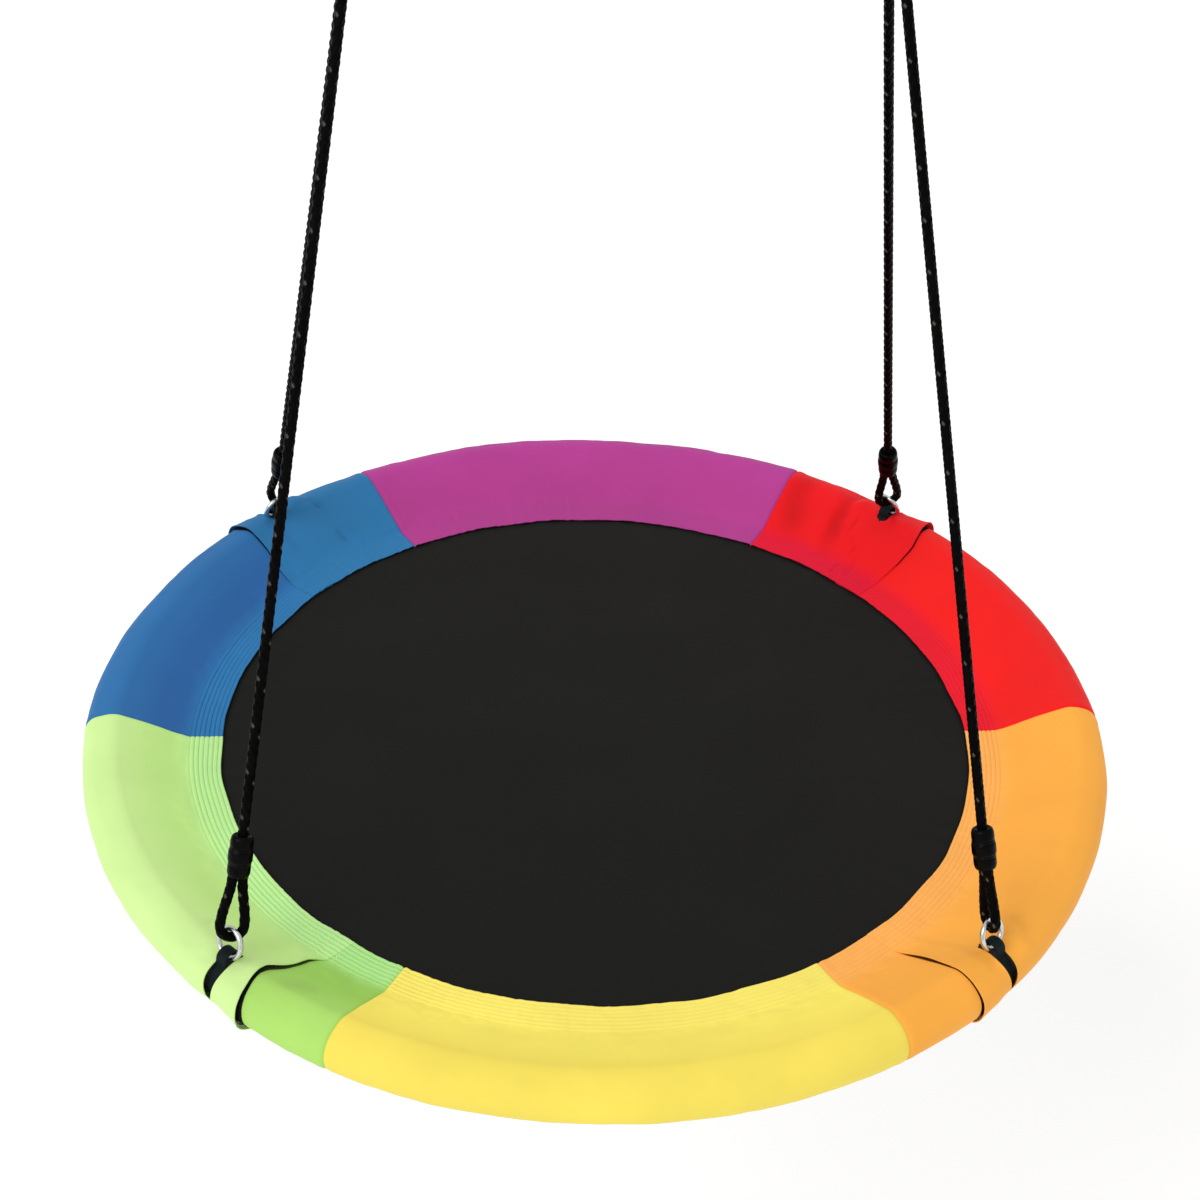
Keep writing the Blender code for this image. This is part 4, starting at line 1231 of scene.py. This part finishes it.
def add_covers():
    cloths = {name: cloth_material(f"{name}_cloth", colours) for name, colours in CLOTHS.items()}
    threads = {name: thread_material(f"{name}_thread", colour) for name, colour in THREADS.items()}
    for name, start in (("magenta", 60), ("yellow", 240)):
        seams, slot = (start, start + 60), f"{name}_cloth"
        piece = add_cover_piece(f"cover_{name}", *seams, seams, cloths[name], slot)
        rows = band_stitches(*seams, lambda angles, runs: plain_surface(angles, runs, seams))
        sewing = add_stitches(f"stitches_{name}", np.hstack(rows), threads[name])
    for port_name, port, way, _ in PORTS:
        name, start, *ends = LAPS[port][:4]
        seams, slot, thread = (start, start + 60), f"{name}_cloth", threads[name]
        top, under = (f"{name}_{end}" for end in ends)
        sewn, other = seams[::way]
        place = (*seams, port, way, seams)
        upper_piece = add_upper_piece(f"cover_{top}", *place, cloths[top], slot)
        lower_piece = add_lower_piece(f"cover_{under}", *place, cloths[under], slot)
        # The facing's slope colour is a darkened copy of its cover's: painted shadow under the lip.
        shaded = tuple(FACING_SHADOW_SHARE * value for value in CLOTHS[top][1])
        facing_and_shadow_cloth = cloth_material(f"facing_{name}", (shaded, shaded, BLACK), sheen=0.0, specular=0.05)
        facing = add_facing(port_name, port, way, facing_and_shadow_cloth)

        def lapped(angles, runs):
            return upper_surface(angles, runs, port, way, seams)

        edge = float(free_edge(port, way, np.array([ROW_START]))[0])
        rows = band_stitches(min(sewn, edge), max(sewn, edge), lapped) + edge_stitches(port, way, lapped)
        sewing = add_stitches(f"stitches_{top}", np.hstack(rows), thread)
        rows = band_stitches(
            min(other, edge), max(other, edge), lambda angles, runs: plain_surface(angles, runs, seams)
        )
        sewing = add_stitches(f"stitches_{under}", np.hstack(rows), thread)


# ---------------------------------------------------------------- seat, lining and foam

SEAT_SAG = 0.0045
HEM_RISE = -0.0036
SLEEVE_START, SLEEVE_SPAN = 52.7, 88.2


def add_seat(material):
    """The black seat cloth, stretched inside the rim and sewn under the cover's band."""
    radii = np.concatenate([np.linspace(0.0008, 0.340, 70), np.linspace(0.343, 0.3995, 42)])
    angles, spans = np.meshgrid(np.arange(0.0, 360.0, 1.0), radii)
    turn = np.radians(angles)
    rise = -SEAT_SAG * smooth(1 - spans / 0.362)
    near = np.exp(-np.maximum(SEAT_RADIUS - spans, 0.0) / 0.020) * smooth((0.3735 - spans) / 0.004)
    rise += 0.00035 * near * ripples(PLEAT_COUNTS // 3, turn) / 2.2 - 0.00025
    rise -= 0.0005 * smooth((spans - 0.3690) / 0.0016)
    points = np.stack([spans * np.cos(turn), spans * np.sin(turn), SEAT_TOP_Z + rise], -1)
    rows, columns = angles.shape
    faces = grid_faces(rows, columns, False, True)[:, ::-1]
    uv = points[..., :2].reshape(-1, 2)
    piece = add_piece("seat", points, faces, material, "platform", [range(columns)], uv)
    thicken(piece, 0.0012)


def lining_profile():
    """(radius, rise) from the rim's foot in to the seat's edge, under the ring."""
    under = arc((TUBE_RADIUS, TUBE_RISE), COVER_RADIUS, -92, -116, 9)
    corner, end = (STITCH_RADIUS, HEM_RISE), (SEAT_RADIUS + 0.0006, HEM_RISE)
    slope = np.linspace(under[-1], corner, 25)[1:-1]
    profile = np.concatenate([under, slope, np.linspace(corner, end, 17)])
    for _ in range(4):
        profile[1:-1] = (profile[:-2] + 2 * profile[1:-1] + profile[2:]) / 4
    return profile


def add_lining(material):
    """The black cloth that closes the rim underneath."""
    profile = lining_profile()
    angles, row = np.meshgrid(np.arange(0.0, 360.0, 0.6), np.arange(len(profile)))
    turn = np.radians(angles)
    share = row / (len(profile) - 1)
    waves = sum(np.sin(c * turn + p + 4 * share) for c, p in zip(WAVE_COUNTS, WAVE_PHASES)) / 3
    pleats = ripples(PLEAT_COUNTS // 2, turn) / 2.5
    off = 0.0007 * waves * np.sin(math.pi * share) ** 0.7 + 0.0003 * pleats * smooth((share - 0.45) / 0.3)
    off *= smooth((1.0 - share) / 0.12)
    radius, rise = profile[row, 0], profile[row, 1] - off - 0.0002
    points = np.stack([radius * np.cos(turn), radius * np.sin(turn), SEAT_TOP_Z + rise], -1)
    uv = np.stack([turn * 0.43, run_along(profile)[row]], -1).reshape(-1, 2)
    faces = grid_faces(*angles.shape, False, True)
    piece = add_piece("lining", points, faces, material, "platform", uv=uv)
    thicken(piece, 0.0008, 1.0)


def add_foam(material):
    """Foam sleeves on the tubes, each a little shorter than its tube: out along the outside, back inside."""
    for k in range(4):
        start = SLEEVE_START + 90 * k
        angles = np.linspace(start, start + SLEEVE_SPAN, 92)
        turn = np.radians(np.concatenate([angles, angles[::-1]]))[:, None]
        rings = np.repeat(FOAM_RADII, len(angles))[:, None, None] * circle(32)
        reach = TUBE_RADIUS + rings[..., 0]
        rise = SEAT_TOP_Z + TUBE_RISE + rings[..., 1]
        points = np.stack([reach * np.cos(turn), reach * np.sin(turn), rise], -1)
        faces = grid_faces(*rise.shape, True, True)
        piece = add_piece(f"foam_sleeve_{k + 1}", points, faces, material, "platform")


def finish_hidden_frame(steel):
    """The frame's own tubes and screws keep their shape and get their finish."""
    coat = coated_steel_material()
    for k in range(1, 5):
        for node, material in ((f"frame_tube_{k}", coat), (f"frame_screw_{k}", steel)):
            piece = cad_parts[node]
            piece.data.materials.clear()
            piece.data.materials.append(material)


# ---------------------------------------------------------------- build

add_camera()
add_studio()
rope_black, plastic_black, zinc = rope_material(), plastic_material(), steel_material()
webbing = webbing_material()
for port_name, port_angle, _, eye_degrees in PORTS:
    add_rope(port_name, port_angle, eye_degrees, rope_black, plastic_black, zinc)
for port_name, port_angle, *_ in PORTS:
    add_strap(port_name, port_angle, webbing)
for side_name, side_sign in (("left", -1), ("right", 1)):
    add_carabiner(side_name, side_sign, zinc)
    ring_place = np.array([side_sign * HANG_SPACING / 2, 0.0, HANG_RING_Z])
    add_ring_piece(
        f"hang_ring_{side_name}", ring_place, ACROSS, UP, HANG_RING_RADIUS, HANG_RING_WIRE, zinc, "hang_rings"
    )
add_seat(cloth_material("seat_cloth", (BLACK,) * 3, sheen=0.08, roughness=0.7))
add_lining(cloth_material("lining_cloth", (BLACK,) * 3, sheen=0.1))
add_foam(foam_material())
finish_hidden_frame(zinc)
add_covers()
